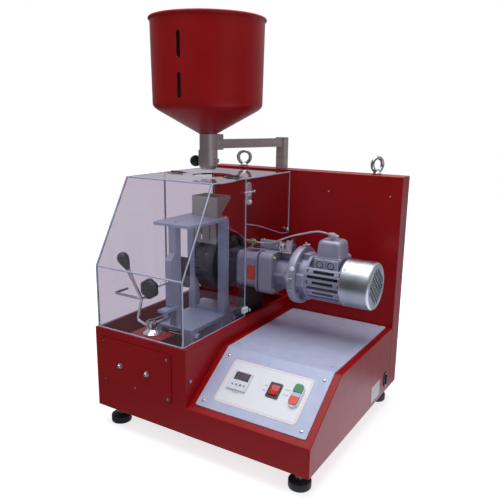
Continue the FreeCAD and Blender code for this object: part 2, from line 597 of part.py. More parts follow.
def hinges():
    fixed, moving = [], []
    for middle in ("hinge_left", "hinge_right"):
        left = f"({middle} - leaf_wide / 2)"
        third = "leaf_wide / 3"
        pin = rod(left, hinge_y, hinge_z, "hinge_pin", "leaf_wide", "X")
        inset = "(knuckle_radius + leaf_gap)"
        leaf = box(left, f"{hinge_y} + {inset}", "hood_top", "leaf_wide", f"leaf_deep - {inset}",
                   "leaf_thick")
        pieces = [leaf, pin]
        for start in (left, f"{left} + 2 * {third}"):
            pieces.append(rod(start, hinge_y, hinge_z, "knuckle_radius", third, "X"))
            pieces.append(box(start, f"{hinge_y} + seam_gap / 2", "hood_top", third, inset, "leaf_thick"))
        fixed.append(join(*pieces))
        start = f"{left} + {third} + air"
        short = f"{third} - 2 * air"
        leaf = box(left, f"{hinge_y} - leaf_deep", "hood_top", "leaf_wide", f"leaf_deep - {inset}",
                   "leaf_thick")
        barrel = rod(start, hinge_y, hinge_z, "knuckle_radius", short, "X")
        neck = box(start, f"{hinge_y} - {inset}", "hood_top", short, f"{inset} - seam_gap / 2",
                   "leaf_thick")
        moving.append(cut(join(leaf, barrel, neck), rod(left, hinge_y, hinge_z, "hinge_pin + running",
                                                        "leaf_wide",
                                                        "X")))
    node("hinge_fixed_leaves", *fixed)
    node("hinge_moving_leaves", *moving)


def drive():
    bore = rod("gear_left - 7", "wheel_y", "wheel_z", "shaft_radius + running",
               "gear_flange_left - gear_left + 6", "X")
    case = box("gear_left", "wheel_y - gear_radius", "wheel_z - gear_radius",
               "gear_flange_left - gear_left",
               "2 * gear_radius", "2 * gear_radius")
    case = soften(case, 20, lambda edge: along("X", edge))
    case = soften(case, 8, lambda edge: edge.BoundBox.XMax < value("gear_left") + 0.1)
    boss = rod("gear_left - 6", "wheel_y", "wheel_z", "2 * shaft_radius", 8, "X")
    half = "gear_flange_side / 2"
    flange = box("gear_flange_left", f"wheel_y - {half}", f"wheel_z - {half}",
                 "gear_flange_right - gear_flange_left", "gear_flange_side", "gear_flange_side")
    flange = soften(flange, 18, lambda edge: along("X", edge))
    seam = box("gear_flange_left - 12", f"wheel_y - {half}", f"wheel_z - {half}", 5,
               "gear_flange_side", "gear_flange_side")
    seam = soften(seam, 20, lambda edge: along("X", edge))
    neck = rod("gear_flange_right", "wheel_y", "wheel_z", "neck_radius", "bell_left - gear_flange_right",
               "X")
    ribs = [centred("(gear_flange_right + bell_left) / 2", "wheel_y", "wheel_z - neck_radius - 12",
                    "bell_left - gear_flange_right", "rib_wide", "2 * neck_radius + 24"),
            centred("(gear_flange_right + bell_left) / 2", "wheel_y", "wheel_z - rib_wide / 2",
                    "bell_left - gear_flange_right", "2 * neck_radius + 24", "rib_wide")]
    bolts = [rod("gear_flange_right", f"wheel_y + {i} * ({half} - 14)", f"wheel_z + {j} * ({half} - 14)",
                 6, 5, "X")
             for i in (-1, 1) for j in (-1, 1)]
    node("gearbox", cut(join(case, boss, seam, flange, neck, *ribs, *bolts), bore))
    high = "(wheel_z - gear_radius - sheet)"
    tube = box("pedestal_left", "pedestal_front", "sheet", "pedestal_right - pedestal_left",
               "pedestal_back - pedestal_front", high)
    wall = "2 * sheet"
    inside = box(f"pedestal_left + {wall}", f"pedestal_front + {wall}", f"sheet + {wall}",
                 f"pedestal_right - pedestal_left - 2 * {wall}",
                 f"pedestal_back - pedestal_front - 2 * {wall}", f"{high} - 2 * {wall}")
    node("gear_pedestal", cut(tube, inside))
    low = "motor_left - 12"
    node("motor_bell", turned([("bell_left", 0), ("bell_left", "bell_radius - 6"),
                               ("bell_left + 6", "bell_radius"),
                               ("bell_step", "bell_radius"), ("bell_step", "bell_radius - 12"),
                               (f"{low}", "motor_radius + 4"), ("motor_left", "motor_radius + 2"),
                               ("motor_left", 0)], "X", 0, "wheel_y", "wheel_z"))
    body = turned([("motor_left", 0), ("motor_left", "motor_core"), ("motor_right", "motor_core"),
                   ("motor_right", 0)], "X", 0, "wheel_y", "wheel_z")
    step = 2 * math.pi / value("motor_fins")
    fins = []
    for i in range(int(value("motor_fins"))):
        turn = Rotation(Vector(1, 0, 0), math.degrees(i * step))
        fin = box(0, 0, 0, "motor_right - motor_left", "fin_wide", "motor_radius - motor_core + 4")
        fin.Placement = Placement(Vector(), turn)
        out = "(motor_core - 4)"
        sine, cosine = f"{math.sin(i * step):.6f}", f"{math.cos(i * step):.6f}"
        seat(fin, "motor_left", f"wheel_y - {out} * {sine} - fin_wide / 2 * {cosine}",
             f"wheel_z + {out} * {cosine} - fin_wide / 2 * {sine}")
        fins.append(fin)
    stub = rod("motor_right", "wheel_y", "wheel_z", "shaft_radius", 8, "X")
    hole = rod("motor_right - 10", "wheel_y", "wheel_z", "screw_radius + 1 + running", 30, "X")
    node("motor_body", cut(join(body, stub, *fins), hole))
    base = box("box_x - box_base_side / 2", "wheel_y - box_base_side / 2", "box_low", "box_base_side",
               "box_base_side", 10)
    base = soften(base, 8, lambda edge: along("Z", edge))
    lid = box("box_x - box_side / 2", "wheel_y - box_side / 2", "box_low + 10", "box_side", "box_side",
              "box_high - box_low - 10")
    lid = soften(lid, 6, lambda edge: extent(edge, "Z") > 10 or edge.BoundBox.ZMin > value("box_high") - 1)
    node("terminal_box", join(base, lid))


def fan():
    long = "cover_end - motor_right"
    inner = "cover_radius - cover_wall"
    cup = turned([("motor_right + air", "cover_radius - 5"), ("motor_right + 6", "cover_radius"),
                  ("cover_end - 8", "cover_radius"), ("cover_end", "cover_radius - 8"), ("cover_end", 0),
                  ("cover_end - cover_wall", 0), ("cover_end - cover_wall", "cover_radius - 9"),
                  ("cover_end - 9", inner), ("motor_right + 7", inner),
                  ("motor_right + air", "cover_radius - 5 - cover_wall")], "X", 0, "wheel_y", "wheel_z")
    slots = []
    count = int(value("grille_bars"))
    for i in range(count):
        offset = (i - (count - 1) / 2) * 7
        half = f"sqrt((cover_radius - 14) * (cover_radius - 14) - {offset * offset:g})"
        slots.append(box("cover_end - 3 * cover_wall", f"wheel_y - grille_slot / 2 + {offset:g}",
                         f"wheel_z + 8 - {half}", "6 * cover_wall", "grille_slot", f"{half} - 11"))
        slots.append(box("cover_end - 3 * cover_wall", f"wheel_y - grille_slot / 2 + {offset:g}",
                         "wheel_z + 3", "6 * cover_wall", "grille_slot", f"{half} - 6"))
    node("fan_cover", cut(cup, *slots))
    hub = rod("fan_left - 6", "wheel_y", "wheel_z", 16, "fan_long + 6", "X")
    disc = rod("fan_left - 2", "wheel_y", "wheel_z", "fan_radius", 3, "X")
    stem = rod("motor_right - 8", "wheel_y", "wheel_z", "screw_radius + 1", "fan_left - motor_right + 8",
               "X")
    blades = []
    for i in range(8):
        angle = i * math.pi / 4
        blade = box(0, 0, 0, "fan_long", 3, "fan_radius - 12")
        blade.Placement = Placement(Vector(), Rotation(Vector(1, 0, 0), math.degrees(angle)))
        seat(blade, "fan_left", f"wheel_y - 12 * {math.sin(angle):.6f} - 1.5 * {math.cos(angle):.6f}",
             f"wheel_z + 12 * {math.cos(angle):.6f} - 1.5 * {math.sin(angle):.6f}")
        blades.append(blade)
    node("motor_fan", join(hub, disc, stem, *blades))


def wheel():
    half = "wheel_wide / 2"
    left = f"(wheel_x - {half})"
    right = f"(wheel_x + {half})"
    bore = "shaft_radius + running"
    node("abrasion_wheel", turned([(left, bore), (left, "3 * shaft_radius"),
                                   (f"{left} + 8", "3 * shaft_radius"),
                                   (f"{left} + 8", "wheel_radius - 14"), (left, "wheel_radius - 14"),
                                   (left, "wheel_radius - 1"), (f"{left} + 1", "wheel_radius"),
                                   (f"{right} - 1", "wheel_radius"), (right, "wheel_radius - 1"),
                                   (right, "wheel_radius - 14"), (f"{right} - 8", "wheel_radius - 14"),
                                   (f"{right} - 8", "3 * shaft_radius"), (right, "3 * shaft_radius"),
                                   (right, bore)], "X", 0, "wheel_y", "wheel_z"))
    shaft = rod(f"{left} - shaft_radius", "wheel_y", "wheel_z", "shaft_radius",
                f"gear_flange_left - 9 - {left} + shaft_radius", "X")
    cap = rod(f"{left} - 7", "wheel_y", "wheel_z", "1.6 * shaft_radius", 7, "X")
    node("wheel_shaft", join(shaft, cap))


def bars(points, radius):
    spots = [Vector(*[number(part) for part in point]) for point in points]
    pieces = []
    for i, (start, end) in enumerate(zip(spots, spots[1:])):
        line = end - start
        piece = doc.addObject("Part::Cylinder", "Bar")
        piece.Placement = Placement(Vector(), Rotation(Vector(0, 0, 1), line))
        link(piece, "Radius", radius)
        piece.Height = line.Length
        pieces.append(seat(piece, *points[i]))
        if i:
            pieces.append(ball(*points[i], radius))
    return pieces


def trolley():
    wide = "table_right - table_left"
    long = "table_back - table_front"
    block = box("table_left", "table_front", "table_low", wide, long, "table_top - table_low")
    tunnel = box("table_left + leg_wide", "table_front - 1", "table_low - 1", f"{wide} - 2 * leg_wide",
                 f"{long} + 2", "table_top - table_thick - table_low + 1")
    windows = box("table_left - 1", "window_front", "window_low", f"{wide} + 2",
                  "window_back - window_front",
                  "window_high - window_low")
    windows = soften(windows, 8, lambda edge: along("X", edge))
    slab = box("table_left", "slab_front", "table_top", "slab_right - table_left",
               "table_back - slab_front",
               "slab_high")
    posts = [box(left, "rear_post_y", "table_top", "post_side", "post_side", "slab_high + 1")
             for left in ("table_left", "table_right - post_side")]
    holes = [rod("table_left - 1", y, "axle_z", "axle_radius + running", f"{wide} + 2", "X")
             for y in ("front_axle_y", "rear_axle_y")]
    fork = []
    for left in ("wheel_x - lever_thick / 2 - fork_thick - 3", "wheel_x + lever_thick / 2 + 3"):
        tab = box(left, "table_back - lever_thick", "crank_pin_z - lever_thick", "fork_thick",
                  "crank_y - table_back + 2 * lever_thick",
                  "table_top - table_thick - crank_pin_z + lever_thick")
        notch = box(f"{left} - 1", "crank_y - crank_pin - 1", "crank_pin_z - 20", "fork_thick + 2",
                    "2 * crank_pin + 2", 32)
        fork.append(cut(tab, notch))
    node("trolley_table", join(cut(join(block, slab), tunnel, windows, *posts, *holes), *fork))
    front = box("wheel_x - post_side / 2", "front_post_y", "table_top", "post_side", "post_side",
                "top_plate_low - table_top")
    boss = box("wheel_x - boss_wide / 2", "front_post_y - boss_deep", "boss_low", "boss_wide", "boss_deep",
               "boss_high - boss_low")
    boss = soften(boss, "boss_chamfer", lambda edge: along("X", edge)
                  and edge.BoundBox.YMax < value("front_post_y") - 1, "Part::Chamfer")
    peg_y = "(loop_far - 2 * wire - air - peg_radius)"
    tab = box("wheel_x - boss_wide / 2", f"{peg_y} - peg_radius", "tab_low",
              "toggle_x - wheel_x + boss_wide / 2 + peg_radius", f"front_post_y - {peg_y} + peg_radius - 2",
              "tab_thick")
    peg = rod("toggle_x", peg_y, "loop_z - 3 * wire", "peg_radius", "tab_low - loop_z + 4 * wire")
    lip = rod("toggle_x", peg_y, "loop_z - 4 * wire", "peg_radius + 2", "wire + 2")
    hole = rod("wheel_x", "front_post_y - boss_deep - 1", "screw_z", "screw_radius + running",
               "boss_deep + post_side + 2", "Y")
    rear = [box(left, "rear_post_y", "table_top", "post_side", "post_side", "top_plate_low - table_top")
            for left in ("table_left", "table_right - post_side")]
    stand = cut(join(front, boss, tab, peg, lip), hole)
    node("trolley_posts", stand, *rear)
    plate = box("table_left", "table_front", "top_plate_low", wide,
                "rear_post_y + post_side - table_front + 5", "top_plate_thick")
    plate = soften(plate, 14, lambda edge: along("Z", edge))
    gap = "funnel_wall + air"
    duct = box(f"wheel_x - chute_wide / 2 - {gap}", "chute_y - air", "top_plate_low - 1",
               f"chute_wide + 2 * ({gap})", "chute_deep + 2 * air", "top_plate_thick + 2")
    node("trolley_top_plate", cut(plate, duct))
    for name in ("front", "rear"):
        y = f"{name}_axle_y"
        shaft = rod("table_left - 2 - roller_wide", y, "axle_z", "axle_radius",
                    f"{wide} + 4 + 2 * roller_wide", "X")
        rollers = [rod(left, y, "axle_z", "roller_radius", "roller_wide", "X")
                   for left in ("table_left - 2 - roller_wide", "table_right + 2")]
        node(f"axle_{name}", join(shaft, *rollers))


def clamp():
    knob = []
    start = "(knob_y - knob_thick / 2)"
    lobes = 6
    for i in range(lobes):
        angle = 2 * math.pi * i / lobes + math.pi / 6
        knob.append(rod(f"wheel_x + knob_radius * {0.68 * math.cos(angle):.5f}", start,
                        f"screw_z + knob_radius * {0.68 * math.sin(angle):.5f}", "knob_radius * 0.32",
                        "knob_thick * 0.7", "Y"))
    knob.append(rod("wheel_x", start, "screw_z", "knob_radius * 0.72", "knob_thick * 0.7", "Y"))
    knob.append(cone("wheel_x", f"{start} + knob_thick * 0.7", "screw_z", "knob_radius * 0.6",
                     "knob_radius * 0.36",
                     "knob_thick * 0.3", "Y"))
    end = "(press_y + press_thick / 2)"
    bore = rod("wheel_x", f"{start} + 6", "screw_z", "screw_radius + running", "knob_thick", "Y")
    node("star_knob", cut(join(*knob), bore))
    screw = rod("wheel_x", f"{start} + 6", "screw_z", "screw_radius", f"{end} - {start} - 6", "Y")
    node("clamp_screw", screw)
    pad = box("wheel_x - press_wide / 2", "press_y", "press_low", "press_wide", "press_thick",
              "press_high - press_low")
    pad = soften(pad, 3, lambda edge: extent(edge, "Y") < 1 or along("Y", edge))
    socket = rod("wheel_x", "press_y - 1", "screw_z", "screw_radius + running", f"{end} - press_y + 1", "Y")
    node("pressure_pad", cut(pad, socket))


def funnel():
    wall = "funnel_wall"
    base = "(top_plate_low + top_plate_thick + air)"
    mouth = "(rear_post_y - 5)"
    outer = padded("YZ_Plane", [(mouth, base), (mouth, "funnel_high"),
                                (f"{mouth} + funnel_deep", "funnel_high"),
                                (f"{mouth} + funnel_deep", "funnel_high - 12"),
                                ("chute_y + chute_deep", f"{base} + 12"), ("chute_y + chute_deep", base)],
                   "funnel_wide", "wheel_x - funnel_wide / 2")
    inner = padded("YZ_Plane", [(f"{mouth} + {wall}", f"{base} - 1"),
                                (f"{mouth} + {wall}", "funnel_high + 1"),
                                (f"{mouth} + funnel_deep - {wall}", "funnel_high + 1"),
                                (f"{mouth} + funnel_deep - {wall}", f"funnel_high - 12 + {wall} / 2"),
                                (f"chute_y + chute_deep - {wall}", f"{base} + 12 + {wall} / 2"),
                                (f"chute_y + chute_deep - {wall}", f"{base} - 1")],
                   f"funnel_wide - 2 * {wall}", f"wheel_x - funnel_wide / 2 + {wall}")
    chute = box("wheel_x - chute_wide / 2", "chute_y", "chute_low - 1", "chute_wide", "chute_deep",
                f"{base} + 3 - chute_low")
    duct = box(f"wheel_x - chute_wide / 2 + {wall}", f"chute_y + {wall}", "chute_low - 5",
               f"chute_wide - 2 * {wall}", f"chute_deep - 2 * {wall}", f"{base} + 30 - chute_low")
    slant = padded("YZ_Plane", [("chute_y - 1", "chute_low - 2"), ("chute_y - 1", "chute_low"),
                                ("chute_y + chute_deep + 1", "chute_low + chute_deep"),
                                ("chute_y + chute_deep + 1", "chute_low - 2")],
                   "chute_wide + 2", "wheel_x - chute_wide / 2 - 1")
    slits = [box(f"wheel_x + {side} * chute_wide / 5 - slit_wide / 2", "chute_y - 1",
                 "chute_low + chute_deep / 2",
                 "slit_wide", "slit_wide", "slit_long")
             for side in (-1, 1)]
    node("funnel", cut(join(outer, chute), inner, duct, slant, *slits))


def weight():
    left = "wheel_x - lever_thick / 2"
    crank = box(left, "crank_y - lever_deep / 2", "crank_z", "lever_thick", "lever_deep",
                "crank_pin_z - crank_z + lever_deep / 2")
    arm = box(left, "crank_y", "crank_z - lever_deep / 2", "lever_thick", "weight_y - crank_y + lever_deep",
              "lever_deep")
    hub = rod("wheel_x - lever_half + 1", "crank_y", "crank_z", "lever_hub", "2 * lever_half - 2", "X")
    half = "(lever_hub + air)"
    pivot = rod(f"wheel_x - {half} - 1", "crank_y", "crank_z", "crank_pin + 2", f"2 * {half} + 2", "X")
    pin = rod(f"{left} - fork_thick - 2", "crank_y", "crank_pin_z", "crank_pin",
              "lever_thick + 2 * fork_thick + 4", "X")
    node("weight_lever", join(crank, arm, hub, pivot, pin))
    block = rod("wheel_x - weight_long / 2", "weight_y", "crank_z", "weight_radius", "weight_long", "X")
    block = soften(block, 2, lambda edge: extent(edge, "Z") > value("weight_radius"), "Part::Chamfer")
    slot = box(left, "crank_y", "crank_z - lever_deep / 2", "lever_thick",
               "weight_y - crank_y + lever_deep",
               "lever_deep")
    node("counterweight", cut(block, slot))


def toggle():
    floor = "chamber_height"
    pivot = "(loop_z - toggle_arm)"
    foot = turned([(0, floor), ("toggle_radius", floor), ("toggle_radius", f"{floor} + 4"),
                   ("toggle_radius - 6", f"{pivot} - 14"), (0,
                                                            f"{pivot} - 14")], "Z", "toggle_x", "toggle_y", 0)
    post = box("toggle_x - hub_half", "toggle_y - 9", f"{pivot} - 15", "2 * hub_half", 18, 15)
    head = rod("toggle_x - hub_half", "toggle_y", pivot, 9, "2 * hub_half", "X")
    hole = rod("toggle_x - hub_half - 1", "toggle_y", pivot, "loop_pin + running", "2 * hub_half + 2", "X")
    node("toggle_base", cut(join(foot, post, head), hole))
    inner = "(hub_half + air)"
    pieces = [rod(f"toggle_x - {inner} - 1", "toggle_y", pivot, "loop_pin", f"2 * {inner} + 2", "X")]
    for side in (-1, 1):
        pieces.append(box(f"toggle_x + {side} * ({inner} + cheek / 2) - cheek / 2", "toggle_y - 14",
                          f"{pivot} - 8", "cheek", 24, 24))
        reach = f"(loop_half + wire + 2 - {inner})"
        pieces.append(rod(f"toggle_x + {side} * ({inner} + {reach} / 2) - {reach} / 2", "toggle_y",
                          "loop_z",
                          "loop_pin", reach, "X"))
    elbow_x = "toggle_x - elbow_in"
    bail_z = "loop_z + bail_rise"
    far = "toggle_y + bail_reach"
    side_x = f"{elbow_x} - bail_wide"
    rod_path = [(f"toggle_x - {inner} - cheek + 1", "toggle_y - 3 * rod_radius", "loop_z - loop_eye"),
                (f"{elbow_x} - 9", "toggle_y - 2 * rod_radius", "loop_z + 2"), (elbow_x, "toggle_y",
                                                                                bail_z),
                ("toggle_x - grip_in", "toggle_y", "loop_z + grip_rise")]
    bail_path = [(elbow_x, far, bail_z), (elbow_x, "toggle_y", bail_z), (side_x, "toggle_y", bail_z),
                 (side_x, far, bail_z)]
    pieces += [join(*bars(rod_path, "rod_radius")), join(*bars(bail_path, "bail_radius"))]
    node("toggle_lever", join(*pieces))
    rise = [(0, 0), (0.34, 0), (0.51, 0.14), (0.8, 0.35), (0.97, 0.53), (1, 0.67), (0.86, 0.82),
            (0.51, 0.95),
            (0, 1)]
    grip = turned([(f"{across} * grip_radius", f"{up} * grip_long") for across, up in rise])
    start, end = [Vector(*[number(part) for part in point]) for point in rod_path[2:]]
    lean_in = (end - start).normalize()
    grip.Placement = Placement(Vector(), Rotation(Vector(0, 0, 1), lean_in))
    back = 8
    seat(grip, f"toggle_x - grip_in - {back * lean_in.x:.4f}", "toggle_y",
         f"loop_z + grip_rise - {back * lean_in.z:.4f}")
    bore = bars(rod_path[2:], "rod_radius + running")
    node("pear_knob", cut(several("Part::Compound", [grip]), *bore))
    eyes = [rod(f"toggle_x + {side} * loop_half - 1.2 * wire", "toggle_y", "loop_z", "loop_eye",
                "2.4 * wire", "X")
            for side in (-1, 1)]
    path = [("toggle_x - loop_half", "toggle_y + 3", "loop_z"),
            ("toggle_x - loop_half", "loop_far - wire", "loop_z"),
            ("toggle_x + loop_half", "loop_far - wire", "loop_z"), ("toggle_x + loop_half", "toggle_y + 3",
                                                                    "loop_z")]
    pin = rod("toggle_x - 2 * loop_half", "toggle_y", "loop_z", "loop_pin + running", "4 * loop_half", "X")
    node("toggle_loop", cut(join(*eyes, *bars(path, "wire")), pin))


def speed_sensor():
    barrel = rod("sensor_left", "wheel_y - 10", "sensor_z", "sensor_radius", "sensor_right - sensor_left",
                 "X")
    nuts = [rod(f"bracket_left - {gap}", "wheel_y - 10", "sensor_z", "1.5 * sensor_radius", 3, "X")
            for gap in (3, -4)]
    node("sensor", join(barrel, *nuts))
    top = "wheel_z + gear_flange_side / 2"
    base = box("bracket_left", "wheel_y - 26", top, "bracket_right - bracket_left", 32, 3)
    riser = box("bracket_left", "wheel_y - 26", top, 4, 32, f"sensor_z - ({top}) + 14")
    hole = rod("bracket_left - 1", "wheel_y - 10", "sensor_z", "sensor_radius + running", 6, "X")
    ear = box("bracket_right - 18", "wheel_y - 26", top, 18, 4, "40")
    bolt = hexagon("bracket_right - 32", "wheel_y - 4", f"{top} + 3", 10, 8)
    node("sensor_bracket", join(cut(join(base, riser), hole), ear, bolt))
    node("cable_gland", gland())
    node("sensor_cable", cable())


cable_points = [(308, 395, 466), (326, 395, 466), (348, 395, 467), (372, 394, 473), (396, 392, 485),
                (422, 390, 497), (450, 388, 507), (478, 386, 515), (504, 385, 523), (530, 388, 527),
                (552, 394, 520)]


def gland():
    tip = Vector(*cable_points[-1])
    down = (tip - Vector(*cable_points[-2])).normalize()
    pieces = []
    for radius, start, long in ((6, 0, 8), (9, 7, 9), (7, 15, 13)):
        spot = tip + down * start
        piece = doc.addObject("Part::Cylinder", "Gland")
        piece.Placement = Placement(Vector(), Rotation(Vector(0, 0, 1), down))
        link(piece, "Radius", str(radius))
        piece.Height = long
        pieces.append(seat(piece, *[f"{part:.3f}" for part in spot]))
    root = tip + down * 24
    pieces.append(rod(f"{root.x:.3f}", f"{root.y:.3f}", "box_high", 8, 7))
    return join(*pieces)


def cable():
    spots = [Vector(*point) for point in cable_points]
    edges = []
    last = spots[0]
    for before, point, after in zip(spots, spots[1:], spots[2:]):
        inward, outward = (point - before), (after - point)
        turn = inward.getAngle(outward)
        reach = 0.45 * min(inward.Length, outward.Length)
        print(f"Cable arc radius {reach / math.tan(turn / 2):.1f} mm")
        start = point - inward.normalize() * reach
        end = point + outward.normalize() * reach
        chord = (start + end) * 0.5
        bulge = (point - chord)
        radius = reach / math.tan(turn / 2)
        middle = chord + bulge.normalize() * (radius - radius * math.cos(turn / 2))
        edges.append(Part.LineSegment(last, start).toShape())
        edges.append(Part.Arc(start, middle, end).toShape())
        last = end
    edges.append(Part.LineSegment(last, spots[-1]).toShape())
    path = Part.Wire(edges)
    radius = value("cable_radius")
    profile = Part.Wire(Part.Circle(spots[0], spots[1] - spots[0], radius).toShape())
    obj = doc.addObject("Part::Feature", "Cable")
    obj.Shape = path.makePipeShell([profile], True, False)
    whole = math.pi * radius ** 2 * path.Length
    print(f"Cable length {path.Length:.1f} mm, volume ratio {obj.Shape.Volume / whole:.4f}")
    return obj


for build in (tub, console, control_panel, rocker_switch, push_buttons, power_inlet, rear_wall, feet,
              mast_and_arm, feed, guard, hinges, drive, fan, wheel, trolley, clamp, funnel, weight, toggle,
              speed_sensor):
    build()
doc.recompute()
for obj in doc.Objects:
    if "Invalid" in obj.State or "Error" in obj.State:
        raise RuntimeError(f"{obj.Label} could not be made")
for part in subparts:
    if part.Shape.isNull() or not part.Shape.isValid():
        raise RuntimeError(f"{part.Label} is not a sound solid")
os.makedirs("parts", exist_ok=True)
for part in subparts:
    part.Shape.exportStep(f"parts/{part.Label}.step")
print(len(subparts), "sub-parts written")
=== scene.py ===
import bmesh
import bpy
import json
import math
from mathutils import Matrix, Vector


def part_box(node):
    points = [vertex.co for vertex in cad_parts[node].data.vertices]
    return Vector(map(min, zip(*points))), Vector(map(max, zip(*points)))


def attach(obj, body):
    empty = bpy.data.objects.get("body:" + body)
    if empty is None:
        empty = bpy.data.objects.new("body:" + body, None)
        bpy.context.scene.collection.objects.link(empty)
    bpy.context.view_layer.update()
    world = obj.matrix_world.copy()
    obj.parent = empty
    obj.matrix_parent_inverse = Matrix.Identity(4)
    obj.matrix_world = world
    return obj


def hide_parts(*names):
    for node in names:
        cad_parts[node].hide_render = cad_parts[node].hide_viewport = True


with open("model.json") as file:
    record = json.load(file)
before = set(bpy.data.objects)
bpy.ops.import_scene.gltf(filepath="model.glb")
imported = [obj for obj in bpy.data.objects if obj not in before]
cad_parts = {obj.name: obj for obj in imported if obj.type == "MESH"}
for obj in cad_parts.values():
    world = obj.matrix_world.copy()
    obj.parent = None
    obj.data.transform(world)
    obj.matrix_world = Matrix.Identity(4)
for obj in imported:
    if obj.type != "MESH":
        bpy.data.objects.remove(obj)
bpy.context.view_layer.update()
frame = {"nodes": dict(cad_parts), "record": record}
nodes = frame["nodes"]
record = frame["record"]
bodyOf = {node: body for body, names in record["behaviour"]["bodies"].items() for node in names}
print("stage 1: frame loaded,", len(nodes), "nodes")

# The cabinet's front left bottom corner; every place below is read from it in millimetres.
corner = Vector((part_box("back_wall")[0][0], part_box("chamber_tub")[0][1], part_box("chamber_tub")[0][2]))
consoleSlope = {"foot": 80, "rise": 122, "run": 178}
slopeAngle = math.atan2(consoleSlope["rise"], consoleSlope["run"])


def at(x, y, z):
    return corner + Vector((x, y, z)) / 1000


def onSlope(x, t, n):  # t runs up the console's slope from its foot, n stands out of it
    y = t * math.cos(slopeAngle) - n * math.sin(slopeAngle)
    z = consoleSlope["foot"] + t * math.sin(slopeAngle) + n * math.cos(slopeAngle)
    return at(x, y, z)


def linear(code):  # a colour as written, in the render's linear values
    channels = [int(code[i:i + 2], 16) / 255 for i in (1, 3, 5)]
    return tuple(c / 12.92 if c <= 0.04045 else ((c + 0.055) / 1.055) ** 2.4 for c in channels) + (1,)


def feed(tree, node, given):  # a socket among the given is linked, a value is set
    for key, value in given.items():
        if isinstance(value, bpy.types.NodeSocket):
            tree.links.new(value, node.inputs[key])
        else:
            node.inputs[key].default_value = value


def wired(tree, kind, given, **settings):  # a new node with its settings and inputs
    node = tree.nodes.new(kind)
    for key, value in settings.items():
        setattr(node, key, value)
    feed(tree, node, given)
    return node


# Camera, floor and light
cameraView = {"place": (1217.3, -1131.3, 855.6), "yaw": 31.44, "pitch": 13.16, "roll": 0.77, "lens": 41.85}


def makeCamera(view):
    yaw, pitch, roll = (math.radians(view[key]) for key in ("yaw", "pitch", "roll"))
    ahead = Vector((-math.sin(yaw) * math.cos(pitch), math.cos(yaw) * math.cos(pitch), -math.sin(pitch)))
    level = Vector((math.cos(yaw), math.sin(yaw), 0))
    over = level.cross(ahead)
    right = level * math.cos(roll) + over * math.sin(roll)
    up = over * math.cos(roll) - level * math.sin(roll)
    camera = bpy.data.objects.new("camera", bpy.data.cameras.new("camera"))
    camera.data.lens = view["lens"]
    camera.data.sensor_width = 36
    camera.data.clip_end = 50
    turn = Matrix((right, up, -ahead)).transposed()
    camera.matrix_world = Matrix.Translation(at(*view["place"])) @ turn.to_4x4()
    bpy.context.collection.objects.link(camera)
    bpy.context.scene.camera = camera


studio = {"floorSize": 12, "worldLight": 0.2, "paper": (0.62, 0.63, 0.66, 1),
          "behindHood": (0.6, 0.545, 0.63, 1), "lampColour": (0.93, 0.955, 1), "aim": (350, 320, 400)}
lamps = {"top": {"place": (300, 200, 3000), "power": 62, "width": 2.6},
         "key": {"place": (-600, -2200, 1900), "power": 8.5, "width": 1.6},
         "side": {"place": (2900, -300, 1300), "power": 7, "width": 1.6}}


def byRay(tree, shader, glossy, through, seen):  # the shader gives light, the others are only looked at
    path = tree.nodes.new("ShaderNodeLightPath").outputs
    for kind, special in (("Glossy", glossy), ("Transmission", through), ("Camera", seen)):
        shares = {0: path[f"Is {kind} Ray"], 1: shader.outputs[0], 2: special.outputs[0]}
        shader = wired(tree, "ShaderNodeMixShader", shares)
    return shader.outputs[0]


def shareAlong(tree, source, direction, start, end, low, high):  # a value that grows along a direction
    place = tree.nodes.new("ShaderNodeTexCoord").outputs[source]
    if direction:
        along = wired(tree, "ShaderNodeVectorMath", {0: place, 1: direction}, operation="DOT_PRODUCT")
    else:
        along = wired(tree, "ShaderNodeVectorMath", {0: place}, operation="LENGTH")
    given = {"Value": along.outputs["Value"], "From Min": start, "From Max": end, "To Min": low,
             "To Max": high}
    return wired(tree, "ShaderNodeMapRange", given).outputs["Result"]


def makeWorld(size):
    world = bpy.data.worlds.new("studio")
    bpy.context.scene.world = world
    world.use_nodes = True
    tree = world.node_tree
    soft = tree.nodes["Background"]
    feed(tree, soft, {"Color": (0.93, 0.95, 1, 1), "Strength": size["worldLight"]})
    upward = shareAlong(tree, "Generated", (0, 0.3, 1), 0.05, 1, 0.12, 1.1)
    room = wired(tree, "ShaderNodeBackground", {"Color": (0.95, 0.95, 1, 1), "Strength": upward})
    haze = wired(tree, "ShaderNodeBackground", {"Color": size["behindHood"], "Strength": 1})
    white = wired(tree, "ShaderNodeBackground", {"Color": (1, 1, 1, 1), "Strength": 1})
    feed(tree, tree.nodes["World Output"], {0: byRay(tree, soft, room, haze, white)})


